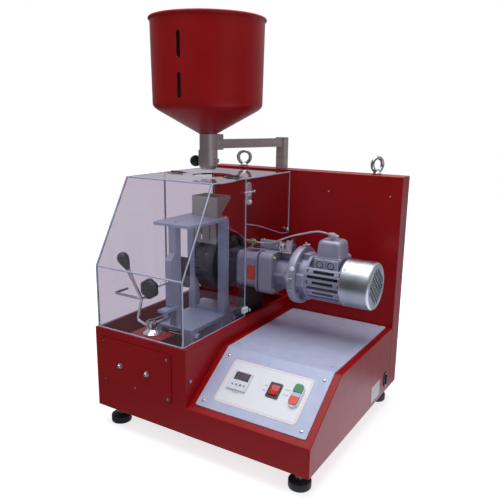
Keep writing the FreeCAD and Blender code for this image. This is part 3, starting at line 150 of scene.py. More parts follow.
def makeFloor(size):
    half = size["floorSize"] / 2
    floor = bpy.data.meshes.new("floor")
    ends = ((-half, -half, 0), (half, -half, 0), (half, half, 0), (-half, half, 0))
    floor.from_pydata(ends, [], [(0, 1, 2, 3)])
    ground = bpy.data.objects.new("floor", floor)
    bpy.context.collection.objects.link(ground)
    paper = bpy.data.materials.new("paper")
    paper.use_nodes = True
    tree = paper.node_tree
    matt = tree.nodes["Principled BSDF"]
    feed(tree, matt, {"Base Color": size["paper"], "Roughness": 0.9})
    outward = shareAlong(tree, "Object", None, 0.5, 1.5, 0.74, 1.05)
    glow = wired(tree, "ShaderNodeEmission", {"Color": (1, 1, 1, 1), "Strength": outward})
    lit = wired(tree, "ShaderNodeAddShader", {0: matt.outputs[0], 1: glow.outputs[0]})
    nearer = shareAlong(tree, "Object", (0.6, 0.8, 0), -0.6, 0.15, 0.1, 1.35)
    farther = shareAlong(tree, "Object", (0, 1, 0), 0.33, 0.47, 1, 0.35)
    fade = wired(tree, "ShaderNodeMath", {0: nearer, 1: farther}, operation="MULTIPLY")
    cool = (0.94, 0.98, 1.12, 1)
    mirrored = wired(tree, "ShaderNodeEmission", {"Color": cool, "Strength": fade.outputs[0]})
    haze = wired(tree, "ShaderNodeEmission", {"Color": size["behindHood"], "Strength": 1})
    feed(tree, tree.nodes["Material Output"], {0: byRay(tree, matt, mirrored, haze, lit)})
    floor.materials.append(paper)


def makeLamps(size):
    for name, lampSize in lamps.items():
        lamp = bpy.data.objects.new(name, bpy.data.lights.new(name, "AREA"))
        lamp.data.energy = lampSize["power"]
        lamp.data.color = size["lampColour"]
        lamp.data.size = lampSize["width"]
        lamp.visible_glossy = name == "top"
        lamp.location = at(*lampSize["place"])
        lamp.rotation_euler = (at(*size["aim"]) - lamp.location).to_track_quat("-Z", "Y").to_euler()
        bpy.context.collection.objects.link(lamp)


bpy.context.scene.view_settings.view_transform = "Standard"
makeCamera(cameraView)
makeWorld(studio)
makeFloor(studio)
makeLamps(studio)
print("stage 2: camera and studio")


finishes = {}


def finish(name, colour, metallic=0.0, roughness=0.4):
    material = bpy.data.materials.new(name)
    material.use_nodes = True
    finishes[name] = material
    tree = material.node_tree
    shader = tree.nodes["Principled BSDF"]
    feed(tree, shader, {"Base Color": linear(colour), "Metallic": metallic, "Roughness": roughness})
    return tree, shader


def noiseOf(tree, scale, stretch):
    place = tree.nodes.new("ShaderNodeTexCoord").outputs["Object"]
    mapping = wired(tree, "ShaderNodeMapping", {"Vector": place, "Scale": stretch})
    given = {"Vector": mapping.outputs["Vector"], "Scale": scale, "Detail": 3}
    return wired(tree, "ShaderNodeTexNoise", given).outputs["Fac"]


def addBump(tree, shader, scale, depth, strength, stretch=(1, 1, 1)):
    given = {"Strength": strength, "Distance": depth, "Height": noiseOf(tree, scale, stretch)}
    feed(tree, shader, {"Normal": wired(tree, "ShaderNodeBump", given).outputs["Normal"]})


def addTone(tree, shader, second, scale, stretch=(1, 1, 1)):  # drifts from the base colour to a second one
    ramp = wired(tree, "ShaderNodeValToRGB", {"Fac": noiseOf(tree, scale, stretch)})
    low, high = ramp.color_ramp.elements
    low.position, high.position = 0.35, 0.65
    low.color = shader.inputs["Base Color"].default_value
    high.color = linear(second)
    feed(tree, shader, {"Base Color": ramp.outputs["Color"]})


def addGloss(tree, shader, low, high, scale, stretch=(1, 1, 1)):
    given = {"Value": noiseOf(tree, scale, stretch), "To Min": low, "To Max": high}
    feed(tree, shader, {"Roughness": wired(tree, "ShaderNodeMapRange", given).outputs["Result"]})


def redCoat():  # thick gloss powder coat with a fine orange peel
    tree, shader = finish("redCoat", "#A10F14")
    feed(tree, shader, {"Specular IOR Level": 0.24})
    addTone(tree, shader, "#A91216", 7)
    addGloss(tree, shader, 0.27, 0.38, 30)
    addBump(tree, shader, 420, 0.0004, 0.16)


def brushed(name, colour, second, stretch, roughness, metallic=1):  # fine brushing along one direction
    tree, shader = finish(name, colour, metallic)
    addTone(tree, shader, second, 60, stretch)
    addGloss(tree, shader, roughness - 0.07, roughness + 0.1, 90, stretch)
    addBump(tree, shader, 300, 0.00012, 0.25, stretch)


def cast(name, colour, second, metallic=0.35, roughness=0.42):  # sprayed die casting
    tree, shader = finish(name, colour, metallic)
    addTone(tree, shader, second, 22)
    addGloss(tree, shader, roughness - 0.06, roughness + 0.08, 60)
    addBump(tree, shader, 700, 0.0003, 0.22)


def moulded(name, colour, second, roughness):
    tree, shader = finish(name, colour)
    addTone(tree, shader, second, 35)
    addGloss(tree, shader, roughness - 0.06, roughness + 0.08, 90)
    addBump(tree, shader, 900, 0.0002, 0.2)


def bright(name, colour, roughness):  # plated or polished metal with faint handling marks
    tree, shader = finish(name, colour, 1)
    addTone(tree, shader, "#C6CACE", 12)
    addGloss(tree, shader, roughness * 0.6, roughness * 1.6, 25)
    addBump(tree, shader, 180, 0.0001, 0.1)


def clearSheet(name, tint, roughness):  # shadow and diffuse rays pass through, so the inside stays lit
    tree, shader = finish(name, "#FFFFFF", roughness=roughness)
    feed(tree, shader, {"Base Color": tint, "Transmission Weight": 1, "IOR": 1.4})
    addBump(tree, shader, 14, 0.0002, 0.03)
    path = tree.nodes.new("ShaderNodeLightPath").outputs
    kinds = {0: path["Is Shadow Ray"], 1: path["Is Diffuse Ray"]}
    either = wired(tree, "ShaderNodeMath", kinds, operation="MAXIMUM")
    passed = wired(tree, "ShaderNodeBsdfTransparent", {"Color": tint})
    shares = {0: either.outputs[0], 1: shader.outputs[0], 2: passed.outputs[0]}
    mix = wired(tree, "ShaderNodeMixShader", shares)
    feed(tree, tree.nodes["Material Output"], {0: mix.outputs[0]})


redCoat()
clearSheet("clear", (0.93, 0.915, 0.94, 1), 0.01)
brushed("stainless", "#CABCB9", "#B8ABA7", (1, 1, 0.05), 0.3, 0.55)
brushed("barSteel", "#C6B9B6", "#B4A7A3", (0.05, 0.05, 1), 0.3, 0.5)
brushed("wheelSteel", "#4B4B4E", "#3C3C40", (0.04, 1, 1), 0.42)
brushed("hingeSteel", "#8D8174", "#7B7065", (1, 0.1, 1), 0.36)
bright("chrome", "#E2E3E5", 0.1)
bright("rodChrome", "#8B8890", 0.16)
bright("zinc", "#C4C6CA", 0.24)
bright("yellowZinc", "#C9BE62", 0.26)
bright("steelDark", "#5A5158", 0.3)
bright("galvanised", "#A6ADB6", 0.3)
bright("brassNickel", "#C9B27C", 0.2)
cast("trolleyPaint", "#A6AFCB", "#B0B9D3", 0.1, 0.38)
cast("motorPaint", "#A4A1B8", "#AFACC2")
cast("gearPaint", "#9C99AF", "#A6A3B9")
# dark steel paint; also the painted shade in the knockout grooves
cast("darkSteel", "#2C2D31", "#36373B", 0.2, 0.5)
# painted shade: a dark blue-grey that stands in for the shade between the motor fins and inside the fan
# cover
cast("finShade", "#26262E", "#303038", 0.2, 0.5)
# painted shade for the inside of the hopper, much darker than its red coat
cast("hopperInside", "#1E0D0F", "#2A1214", 0.2, 0.5)
cast("funnelSteel", "#A9A6A0", "#B3B0AA", 0.3, 0.4)
cast("satinSteel", "#C3B9C2", "#CEC5CD", 0.5, 0.34)
moulded("panelAlloy", "#C4CAE6", "#CCD2EC", 0.36)
moulded("blackPlastic", "#0C0C0F", "#131317", 0.34)
moulded("rubber", "#18181A", "#222225", 0.62)
moulded("palePlastic", "#ECEEF6", "#F2F4FB", 0.42)
moulded("greyPlastic", "#A9ABB3", "#B2B4BC", 0.4)
moulded("greenButton", "#1F7F45", "#248A4C", 0.3)
moulded("redButton", "#E5471D", "#EC5226", 0.3)
moulded("rockerRed", "#D5261B", "#DF3324", 0.22)
moulded("cableGrey", "#B4B3BA", "#BFBEC5", 0.45)
# pale sheet edges: partly the milky cut edge, partly a painted highlight
moulded("clearEdge", "#BCBED8", "#C9CBE2", 0.3)
moulded("labelWhite", "#FAFBFF", "#FDFDFF", 0.32)
moulded("pinkLine", "#D99AA6", "#DDA2AD", 0.4)
moulded("greyInk", "#6C6C78", "#757582", 0.5)
moulded("displayGlass", "#17161D", "#1C1B23", 0.12)
moulded("displayMark", "#5E2630", "#692B36", 0.3)
moulded("lensPale", "#B9C6E4", "#C3CFEA", 0.2)
moulded("bareLabel", "#C9503F", "#D05947", 0.4)
moulded("barePlate", "#D6D2D2", "#DEDADA", 0.34)

nodeFinish = {
    "redCoat": "chamber_tub console_housing back_wall service_panel hopper",
    "panelAlloy": "console_top_plate control_plate",
    "stainless": "outlet_tube valve_body",
    "barSteel": "mast hopper_arm",
    "chrome": "dome_nuts toggle_base toggle_loop",
    "rodChrome": "toggle_lever",
    "galvanised": "fan_cover",
    "satinSteel": "hood_latch",
    "zinc": "foot_studs eye_bolts axle_front axle_rear clamp_screw sensor_bracket",
    "hingeSteel": "hinge_fixed_leaves hinge_moving_leaves",
    "brassNickel": "sensor",
    "funnelSteel": "funnel",
    "trolleyPaint": "trolley_table trolley_posts trolley_top_plate",
    "wheelSteel": "abrasion_wheel wheel_shaft counterweight weight_lever",
    "motorPaint": "motor_bell motor_body terminal_box",
    "gearPaint": "gearbox",
    "darkSteel": "gear_pedestal",
    "clear": "front_hood rear_cover",
    "blackPlastic": "valve_plunger power_inlet rocker_frame star_knob pear_knob motor_fan",
    "greyPlastic": "cable_gland",
    "palePlastic": "counter_body button_frame counter_key_1 counter_key_2 counter_key_3 counter_key_4",
    "cableGrey": "sensor_cable",
    "greenButton": "start_button",
    "redButton": "stop_button",
    "rockerRed": "rocker",
    "rubber": "foot_pads pressure_pad",
}
for key, names in nodeFinish.items():
    for name in names.split():
        for slot in nodes[name].material_slots:
            slot.material = finishes[key]
print("stage 3: finishes")


# What makes, joins and attaches the pieces to their bodies
def adopt(piece, body):
    bpy.context.collection.objects.link(piece)
    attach(piece, body)
    return piece


def standIn(piece, node):  # the piece is shown in place of a CAD node
    adopt(piece, bodyOf[node])
    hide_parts(node)
    return piece


def smoothed(mesh, angle=35):
    mesh.shade_smooth()
    mesh.set_sharp_from_angle(angle=math.radians(angle))
    return mesh


def asMesh(name, bm, materials):
    mesh = bpy.data.meshes.new(name)
    bm.to_mesh(mesh)
    bm.free()
    for material in materials:
        mesh.materials.append(material)
    return mesh


def named(keys):
    return [finishes[key] for key in keys.split()]


def evaluated(piece):
    bpy.context.view_layer.update()
    return bpy.data.meshes.new_from_object(piece.evaluated_get(bpy.context.evaluated_depsgraph_get()))


def fromShape(name, bm, keys, angle=35):
    bmesh.ops.remove_doubles(bm, verts=bm.verts, dist=1e-6)
    bmesh.ops.recalc_face_normals(bm, faces=bm.faces)
    return bpy.data.objects.new(name, smoothed(asMesh(name, bm, named(keys)), angle))


def edged(piece, width, segments=2):  # rounds the sharp edges by a width in mm
    bevel = piece.modifiers.new("roundedEdges", "BEVEL")
    bevel.width = width / 1000
    bevel.segments = segments
    bevel.limit_method = "ANGLE"
    bevel.angle_limit = math.radians(30)
    bevel.miter_outer = "MITER_ARC"
    weigh = piece.modifiers.new("flatFaces", "WEIGHTED_NORMAL")
    weigh.keep_sharp = True
    return piece


def refined(node, width):  # the CAD shape with softened edges
    bm = bmesh.new()
    bm.from_mesh(nodes[node].data)
    bmesh.ops.remove_doubles(bm, verts=bm.verts, dist=1e-5)
    key = next(key for key, names in nodeFinish.items() if node in names.split())
    name = "fine_" + node
    piece = standIn(bpy.data.objects.new(name, smoothed(asMesh(name, bm, named(key)))), node)
    if width:
        edged(piece, width)


axes = {"X": (Vector((0, 1, 0)), Vector((0, 0, 1)), Vector((1, 0, 0))),
        "Y": (Vector((0, 0, 1)), Vector((1, 0, 0)), Vector((0, 1, 0))),
        "Z": (Vector((1, 0, 0)), Vector((0, 1, 0)), Vector((0, 0, 1)))}


def frameOf(direction):  # two sides square to a direction, for lathes
    along = Vector(direction).normalized()
    side = along.orthogonal().normalized()
    return side, along.cross(side), along


def bridge(bm, rings, material=0):  # faces from each ring of corners to the next; a ring of one is a pole
    for low, high in zip(rings, rings[1:]):
        for i in range(max(len(low), len(high))):
            loop = [ring[j % len(ring)] for ring, j in ((low, i), (low, i + 1), (high, i + 1), (high, i))]
            loop = list(dict.fromkeys(loop))
            if len(loop) > 2:
                bm.faces.new(loop).material_index = material


def ringAbout(bm, middle, side, other, radius, steps):
    turns = (2 * math.pi * i / steps for i in range(steps))
    return [bm.verts.new(middle + (side * math.cos(t) + other * math.sin(t)) * radius / 1000) for t in turns]


def lathe(bm, centre, profile, axis="Z", steps=64, material=0):  # the profile holds (radius, height) in mm
    side, other, along = axes[axis] if isinstance(axis, str) else axis
    rings = []
    for radius, height in profile:
        middle = centre + along * height / 1000
        rings.append(ringAbout(bm, middle, side, other, radius, steps) if radius else [bm.verts.new(middle)])
    bridge(bm, rings, material)
    return bm


def tube(bm, path, radius, steps):
    spots = [at(*point) for point in path]
    side = frameOf(spots[1] - spots[0])[0]
    rings = []
    for i, spot in enumerate(spots):
        ahead = (spots[min(i + 1, len(spots) - 1)] - spots[max(i - 1, 0)]).normalized()
        side = (side - ahead * side.dot(ahead)).normalized()
        rings.append(ringAbout(bm, spot, side, ahead.cross(side), radius, steps))
    bridge(bm, rings)
    bm.faces.new(rings[0])
    bm.faces.new(rings[-1])


def block(bm, low, high, place=at):
    (x0, y0, z0), (x1, y1, z1) = low, high
    floor = ((x0, y0), (x1, y0), (x1, y1), (x0, y1))
    rings = [[bm.verts.new(place(x, y, z)) for x, y in floor] for z in (z0, z1)]
    bm.faces.new(rings[0][::-1])
    bm.faces.new(rings[1])
    bridge(bm, rings)
    return bm


def blocks(name, key, *boxes, place=at):  # a piece made of boxes, each from its low to its high corner
    bm = bmesh.new()
    for low, high in boxes:
        block(bm, low, high, place)
    return fromShape(name, bm, key)


def rounded(points, radius):  # rounds the corners of a path of mm points
    steps = 6
    spots = [Vector(point) for point in points]
    path = [spots[0]]
    for before, bend, after in zip(spots, spots[1:], spots[2:]):
        inward, outward = (before - bend).normalized(), (after - bend).normalized()
        for i in range(steps + 1):
            share = i / steps
            a, b = bend + inward * radius, bend + outward * radius
            path.append(a.lerp(bend, share).lerp(bend.lerp(b, share), share))
    return path + [spots[-1]]


def arc(x, y, radius, start, end, steps):
    turns = (math.radians(start + (end - start) * i / steps) for i in range(steps + 1))
    return [(x + radius * math.cos(t), y + radius * math.sin(t)) for t in turns]


def roundedRectangle(left, right, low, high, radius):
    corners = ((right - radius, low + radius, -90), (right - radius, high - radius, 0),
               (left + radius, high - radius, 90), (left + radius, low + radius, 180))
    return [point for x, y, start in corners for point in arc(x, y, radius, start, start + 90, 8)]


def stadiumOf(x, y, wide, long, steps=16):
    radius, rise = wide / 2, (long - wide) / 2
    return arc(x, y + rise, radius, 0, 180, steps) + arc(x, y - rise, radius, 180, 360, steps)


def ballOf(radius, steps):  # a ball's profile from pole to pole
    inner = [(radius * math.sin(math.pi * i / steps), -radius * math.cos(math.pi * i / steps))
             for i in range(1, steps)]
    return [(0, -radius)] + inner + [(0, radius)]


def flatSolid(name, outlines, low, high, place, keys, wide=None):  # a sheet with holes; wide is its normal
    drawing = bpy.data.curves.new(name, "CURVE")
    drawing.dimensions = "2D"
    drawing.fill_mode = "BOTH"
    drawing.extrude = (high - low) / 2
    for outline in outlines:
        spline = drawing.splines.new("POLY")
        spline.points.add(len(outline) - 1)
        for point, (u, v) in zip(spline.points, outline):
            point.co = (u, v, 0, 1)
        spline.use_cyclic_u = True
    holder = bpy.data.objects.new(name, drawing)
    mesh = bpy.data.meshes.new_from_object(holder)
    bpy.data.objects.remove(holder)
    bm = bmesh.new()
    bm.from_mesh(mesh)
    for vert in bm.verts:
        vert.co = place(vert.co.x, vert.co.y, vert.co.z + (low + high) / 2)
    bmesh.ops.remove_doubles(bm, verts=bm.verts, dist=1e-6)
    bmesh.ops.recalc_face_normals(bm, faces=bm.faces)
    for face in bm.faces:
        face.material_index = 1 if wide and abs(face.normal.dot(Vector(wide))) < 0.5 else 0
    bm.to_mesh(mesh)
    bm.free()
    mesh.materials.clear()
    for material in named(keys):
        mesh.materials.append(material)
    return bpy.data.objects.new(name, smoothed(mesh, 25))


def merged(name, objects):  # several loose objects made into one mesh
    bm = bmesh.new()
    materials = []
    for part in objects:
        mesh = part.data
        if part.modifiers:
            bpy.context.collection.objects.link(part)
            mesh = evaluated(part)
        start = len(bm.faces)
        own = list(part.data.materials)
        materials += [material for material in own if material not in materials]
        bm.from_mesh(mesh)
        bm.faces.ensure_lookup_table()
        for face in bm.faces[start:]:
            face.material_index = materials.index(own[face.material_index])
        bpy.data.objects.remove(part)
    return bpy.data.objects.new(name, asMesh(name, bm, materials))


def carved(base, knife):  # the base's mesh with the knife cut out of it
    for part in (base, knife):
        bpy.context.collection.objects.link(part)
    cutting = base.modifiers.new("carve", "BOOLEAN")
    cutting.object = knife
    cutting.solver = "EXACT"
    mesh = evaluated(base)
    bpy.data.objects.remove(knife)
    bpy.data.objects.remove(base)
    return mesh


# The sensor's cable, along the same points as its solid
cableSizes = {"radius": 2.5,
              "points": [(308, 395, 466), (326, 395, 466), (348, 395, 467), (372, 394, 473), (396, 392, 485),
                         (422, 390, 497), (450, 388, 507), (478, 386, 515), (504, 385, 523), (530, 388, 527),
                         (552, 394, 520)]}


def makeCable(s):
    points = s["points"]
    drawing = bpy.data.curves.new("sensorCable", "CURVE")
    drawing.dimensions = "3D"
    spline = drawing.splines.new("NURBS")
    spline.points.add(len(points) - 1)
    for point, spot in zip(spline.points, points):
        point.co = (*at(*spot), 1)
    spline.order_u = 3
    spline.use_endpoint_u = True
    spline.resolution_u = 12
    drawing.bevel_depth = s["radius"] / 1000
    drawing.bevel_resolution = 5
    drawing.use_fill_caps = True
    drawing.materials.append(finishes["cableGrey"])
    cable = standIn(bpy.data.objects.new("sensorCable", drawing), "sensor_cable")


makeCable(cableSizes)

# Solids that keep their CAD shape, with the width of their softened edges in mm
edgeWidths = {
    "chamber_tub": 1.6, "console_housing": 1.8, "back_wall": 1.8, "service_panel": 0.8,
    "console_top_plate": 0.5, "control_plate": 0.5, "trolley_table": 1.2, "trolley_posts": 1,
    "trolley_top_plate": 1.2, "funnel": 0.4, "gear_pedestal": 1, "hopper_arm": 0.8, "mast": 1.2,
    "sensor_bracket": 0.6, "counter_body": 0.6, "gearbox": 1.4, "pressure_pad": 0.5,
    "hinge_fixed_leaves": 0.3, "hinge_moving_leaves": 0.3, "rocker_frame": 0.5, "cable_gland": 0.4,
    "valve_body": 0.8, "outlet_tube": 0, "abrasion_wheel": 0.8, "wheel_shaft": 0.5, "valve_plunger": 0,
    "eye_bolts": 0, "sensor": 0.4, "axle_front": 0.5, "axle_rear": 0.5, "counterweight": 1,
    "weight_lever": 0.8, "toggle_loop": 0, "clamp_screw": 0,
}
for node, width in edgeWidths.items():
    refined(node, width)
print("stage 4: softened solids")

# Hopper: rolled rim, straight wall with two sight slots, soft shoulder, cone
hopperSizes = {"x": 165, "y": 336, "radius": 168, "baseRadius": 164, "rim": 1120, "base": 872, "foot": 795,
               "tubeRadius": 26, "wall": 2, "bead": 5, "crease": 11, "slotTurn": -83, "slotWide": 12,
               "slots": ((1003, 1073), (896, 965))}


def hopperProfile(s):
    wall, bead, crease, base, baseRadius = s["wall"], s["bead"], s["crease"], s["base"], s["baseRadius"]
    slant = (baseRadius - s["tubeRadius"]) / (base - s["foot"])
    taper = 0.016  # how much the wall widens with height
    outline = [(s["tubeRadius"], s["foot"])]
    for i in range(11):  # soft shoulder between the cone and the wall
        low, high = (1 - i / 10) ** 2, (i / 10) ** 2
        outline.append((baseRadius + (high * taper - low * slant) * crease, base + (high - low) * crease))
    shoulder = outline[10:0:-2]
    widen, straight = s["radius"] - baseRadius, s["rim"] - bead - 1 - base - crease
    outline += [(baseRadius + widen * i / 12, base + crease + straight * i / 12) for i in range(1, 13)]
    outline += arc(s["radius"], s["rim"], bead, -60, 180, 10)
    outline += [(s["radius"] - wall, s["rim"] - bead)] + [(x - wall, z + 1) for x, z in shoulder]
    outline += [(s["tubeRadius"] - wall, s["foot"] + 1), (s["tubeRadius"] - wall, s["foot"]), outline[0]]
    return outline


def slotKnife(s):
    bm = bmesh.new()
    turn = math.radians(s["slotTurn"])
    out = Vector((math.cos(turn), math.sin(turn), 0))
    along = Vector((-math.sin(turn), math.cos(turn), 0))
    for low, high in s["slots"]:
        ends = stadiumOf(0, (low + high) / 2, s["slotWide"], high - low, 12)
        rings = [[bm.verts.new(at(s["x"], s["y"], z) + (out * reach + along * u) / 1000) for u, z in ends]
                 for reach in (s["radius"] - 18, s["radius"] + 17)]
        bm.faces.new(rings[0])
        bm.faces.new(rings[1])
        bridge(bm, rings)
    return fromShape("slotKnife", bm, "redCoat")


def makeHopper(s):
    axis = at(s["x"], s["y"], 0)
    bm = lathe(bmesh.new(), axis, hopperProfile(s), steps=144)
    bmesh.ops.recalc_face_normals(bm, faces=bm.faces)
    # inward faces below the rolled rim take the dark painted shade
    for face in bm.faces:
        out = face.calc_center_median() - axis
        if face.normal.x * out.x + face.normal.y * out.y < 0 and out.z < (s["rim"] - s["bead"]) / 1000:
            face.material_index = 1
    mesh = carved(fromShape("hopperBowl", bm, "redCoat hopperInside", 50), slotKnife(s))
    standIn(bpy.data.objects.new("hopperBowl", smoothed(mesh, 50)), "hopper")


makeHopper(hopperSizes)
print("stage 5: hopper")

# Clear guard: sheets glued edge to edge, with paler edges: partly the milky cut edge, partly a painted
# highlight
guardSizes = {"wall": 5, "left": 9, "right": 320, "front": 4, "low": 247.3, "knee": 430, "slopeTop": 141,
              "top": 673, "seam": 314, "gap": 1, "back": 585, "glue": 0.05, "portX": 185, "portY": 330,
              "portRadius": 62, "archStart": 536, "archKnee": (389, 520), "archFoot": (540, 471),
              "archEnd": 468, "archRound": 22, "beadInset": 1.5, "beadRadius": 2.3, "archBead": 1.1}


def sideways(u, v, w):  # the outline lies in the side view, the thickness along X
    return at(w, u, v)


def sheet(outline, low, high, place, wide):
    return flatSolid("sheet", [outline], low, high, place, "clear clearEdge", wide)


def archOf(s, x, start, end):
    path = [(start, s["archStart"]), s["archKnee"], s["archFoot"], (end, s["archEnd"])]
    return rounded([(x, y, z) for y, z in path], s["archRound"])


def portArc(s, edge, near):  # the part of the round opening that lies in one of the two roof sheets
    reach = math.acos(abs(edge - s["portY"]) / s["portRadius"])
    middle = -math.pi / 2 if near else math.pi / 2
    span = reach if near else math.pi - reach
    angles = [middle + span * (1 - i / 16) * (1 if near else -1) for i in range(33)]
    return [(s["portX"] + s["portRadius"] * math.cos(a), s["portY"] + s["portRadius"] * math.sin(a))
            for a in angles]


def makeHood(s):
    wall, left, right, front, knee = s["wall"], s["left"], s["right"], s["front"], s["knee"]
    top, low, slopeTop, end = s["top"], s["low"], s["slopeTop"], s["seam"] - s["gap"]
    near, far = left + wall + s["glue"], right - wall - s["glue"]
    lean = math.atan((slopeTop - front) / (top - knee))
    innerKnee = knee - wall * math.tan(lean / 2)
    innerTop = slopeTop + wall * math.tan((math.pi / 2 - lean) / 2)
    slope = Vector((0, -math.cos(lean), math.sin(lean)))
    roofStart = slopeTop + 3.4
    side = [(front, low), (front, knee), (slopeTop, top), (end, top), (end, low)]
    lower = [(front, low), (front, knee), (front + wall, innerKnee), (front + wall, low)]
    upper = [(front, knee + s["glue"]), (slopeTop, top), (innerTop, top - wall),
             (front + wall, innerKnee + s["glue"])]
    roof = [(near, end), (near, roofStart), (far, roofStart), (far, end)] + portArc(s, end, True)
    hood = [sheet(side, left, left + wall, sideways, (1, 0, 0)),
            sheet(side, right - wall, right, sideways, (1, 0, 0)),
            sheet(lower, near, far, sideways, (0, 1, 0)),
            sheet(upper, near, far, sideways, slope),
            sheet(roof, top - wall, top, at, (0, 0, 1))]
    standIn(merged("guardHood", hood), "front_hood")


def makeCover(s):
    wall, left, right, top, low, back = s["wall"], s["left"], s["right"], s["top"], s["low"], s["back"]
    start = s["seam"] + s["gap"]
    near, far = left + wall + s["glue"], right - wall - s["glue"]
    leftSide = [(start, low), (start, top), (back, top), (back, low)]
    rightSide = [(point.y, point.z) for point in archOf(s, 0, start, back)] + [(back, top), (start, top)]
    roof = portArc(s, start, False) + [(near, start), (near, back), (far, back), (far, start)]
    cover = [sheet(leftSide, left, left + wall, sideways, (1, 0, 0)),
             sheet(rightSide, right - wall, right, sideways, (1, 0, 0)),
             sheet(roof, top - wall, top, at, (0, 0, 1))]
    standIn(merged("guardCover", cover), "rear_cover")


makeHood(guardSizes)
makeCover(guardSizes)
print("stage 6: clear guard")


# Control panel: the printed label with its openings, lines and words
panelSizes = {"thick": 2.5, "labelThick": 0.3, "left": 392, "right": 640, "low": 46, "high": 183,
              "round": 11, "counterX": 441, "counterT": 119, "rockerX": 546, "rockerT": 121, "buttonX": 611,
              "buttonT": 124, "counterHole": (24, 24), "rockerHole": (15, 19), "buttonHole": (27, 67),
              "words": {"ON": (518, 129), "OFF": (518, 114), "START": (581, 133), "STOP": (581, 117),
                        "TURNS": (441, 84)}, "wordSize": 6, "lineInsets": (-0.2, 4.6), "lineWide": 0.8}


def lettering(text, x, t, n, size, key):
    thick = 0.06
    drawing = bpy.data.curves.new(text, "FONT")
    drawing.body = text
    drawing.size = size
    drawing.extrude = thick
    drawing.align_x = "CENTER"
    drawing.align_y = "CENTER"
    holder = bpy.data.objects.new(text, drawing)
    mesh = bpy.data.meshes.new_from_object(holder)
    bpy.data.objects.remove(holder)
    for vert in mesh.vertices:
        vert.co = onSlope(x + vert.co.x, t + vert.co.y, n + thick + vert.co.z)
    mesh.materials.append(finishes[key])
    return bpy.data.objects.new("letters", mesh)


def around(x, t, halfWide, halfHigh):
    return roundedRectangle(x - halfWide, x + halfWide, t - halfHigh, t + halfHigh, 2)


def makePanel(s):
    face, top = s["thick"] + 0.02, s["thick"] + s["labelThick"]

    def outlineAt(inset):
        return roundedRectangle(s["left"] + inset, s["right"] - inset, s["low"] + inset, s["high"] - inset,
                                s["round"] - inset)

    holes = [around(s["counterX"], s["counterT"], *s["counterHole"]),
             around(s["rockerX"], s["rockerT"], *s["rockerHole"]),
             stadiumOf(s["buttonX"], s["buttonT"], *s["buttonHole"])]
    label = [flatSolid("label", [outlineAt(0)] + holes, face, top, onSlope, "labelWhite")]
    for inset in s["lineInsets"]:
        rings = [outlineAt(inset), outlineAt(inset + s["lineWide"])]
        label.append(flatSolid("line", rings, top if inset > 0 else face, top + 0.06, onSlope, "pinkLine"))
    label += [lettering(text, x, t, top, s["wordSize"], "greyInk") for text, (x, t) in s["words"].items()]
    adopt(merged("panelLabel", label), "cabinet")


makePanel(panelSizes)
print("stage 7: control panel")


# Fasteners: one node tree sets a head on every spot, facing along its direction
def fastenerTree():
    tree = bpy.data.node_groups.new("fasteners", "GeometryNodeTree")
    for name, kind in (("Spots", "Geometry"), ("Head", "Object"), ("Finish", "Material"), ("Turn", "Float"),
                       ("Seed", "Int")):
        tree.interface.new_socket(name, in_out="INPUT", socket_type="NodeSocket" + kind)
    tree.interface.new_socket("Fasteners", in_out="OUTPUT", socket_type="NodeSocketGeometry")
    given = tree.nodes.new("NodeGroupInput").outputs
    head = wired(tree, "GeometryNodeObjectInfo", {"Object": given["Head"]})
    facing = wired(tree, "GeometryNodeInputNamedAttribute", {"Name": "facing"}, data_type="FLOAT_VECTOR")
    size = wired(tree, "GeometryNodeInputNamedAttribute", {"Name": "size"}, data_type="FLOAT")
    aim = wired(tree, "FunctionNodeAlignRotationToVector", {"Vector": facing.outputs["Attribute"]}, axis="Z")
    chance = wired(tree, "FunctionNodeRandomValue", {"Seed": given["Seed"]}, data_type="FLOAT")
    most = next(socket for socket in chance.inputs if socket.name == "Max" and socket.enabled)
    tree.links.new(given["Turn"], most)
    angle = next(socket for socket in chance.outputs if socket.enabled)
    spin = wired(tree, "FunctionNodeAxisAngleToRotation", {"Axis": (0, 0, 1), "Angle": angle})
    turns = {"Rotation": aim.outputs[0], "Rotate By": spin.outputs[0]}
    both = wired(tree, "FunctionNodeRotateRotation", turns, rotation_space="LOCAL")
    copies = wired(tree, "GeometryNodeInstanceOnPoints", {
        "Points": given["Spots"], "Instance": head.outputs["Geometry"], "Rotation": both.outputs[0],
        "Scale": size.outputs["Attribute"]})
    real = wired(tree, "GeometryNodeRealizeInstances", {0: copies.outputs[0]})
    paint = wired(tree, "GeometryNodeSetMaterial", {"Geometry": real.outputs[0],
                                                    "Material": given["Finish"]})
    wired(tree, "NodeGroupOutput", {0: paint.outputs[0]})
    return tree


fasteners = fastenerTree()
inputOf = {item.name: item.identifier for item in fasteners.interface.items_tree if item.in_out == "INPUT"}


def scatter(head, key, spots, turn=0.0, seed=3):  # a spot is a place, a direction and a size
    mesh = bpy.data.meshes.new("spots")
    mesh.from_pydata([place for place, direction, size in spots], [], [])
    mesh.attributes.new("facing", "FLOAT_VECTOR", "POINT")
    mesh.attributes.new("size", "FLOAT", "POINT")
    for i, (place, direction, size) in enumerate(spots):
        mesh.attributes["facing"].data[i].vector = direction
        mesh.attributes["size"].data[i].value = size
    holder = bpy.data.objects.new("spots", mesh)
    bpy.context.collection.objects.link(holder)
    modifier = holder.modifiers.new("fasteners", "NODES")
    modifier.node_group = fasteners
    for name, given in (("Head", heads[head]), ("Finish", finishes[key]), ("Turn", turn), ("Seed", seed)):
        modifier[inputOf[name]] = given
    made = evaluated(holder)
    bpy.data.objects.remove(holder)
    return bpy.data.objects.new(head, made)


def loose(x, y, z):
    return Vector((x, y, z)) / 1000


def turned(name, *profiles, knife=None):  # a head about Z from (sides, profile) pairs, less a knife
    bm = bmesh.new()
    for steps, profile in profiles:
        lathe(bm, Vector(), profile, steps=steps)
    head = fromShape(name, bm, "zinc")
    if knife:
        head = bpy.data.objects.new(name, smoothed(carved(head, fromShape("knife", knife, "zinc"))))
    return head


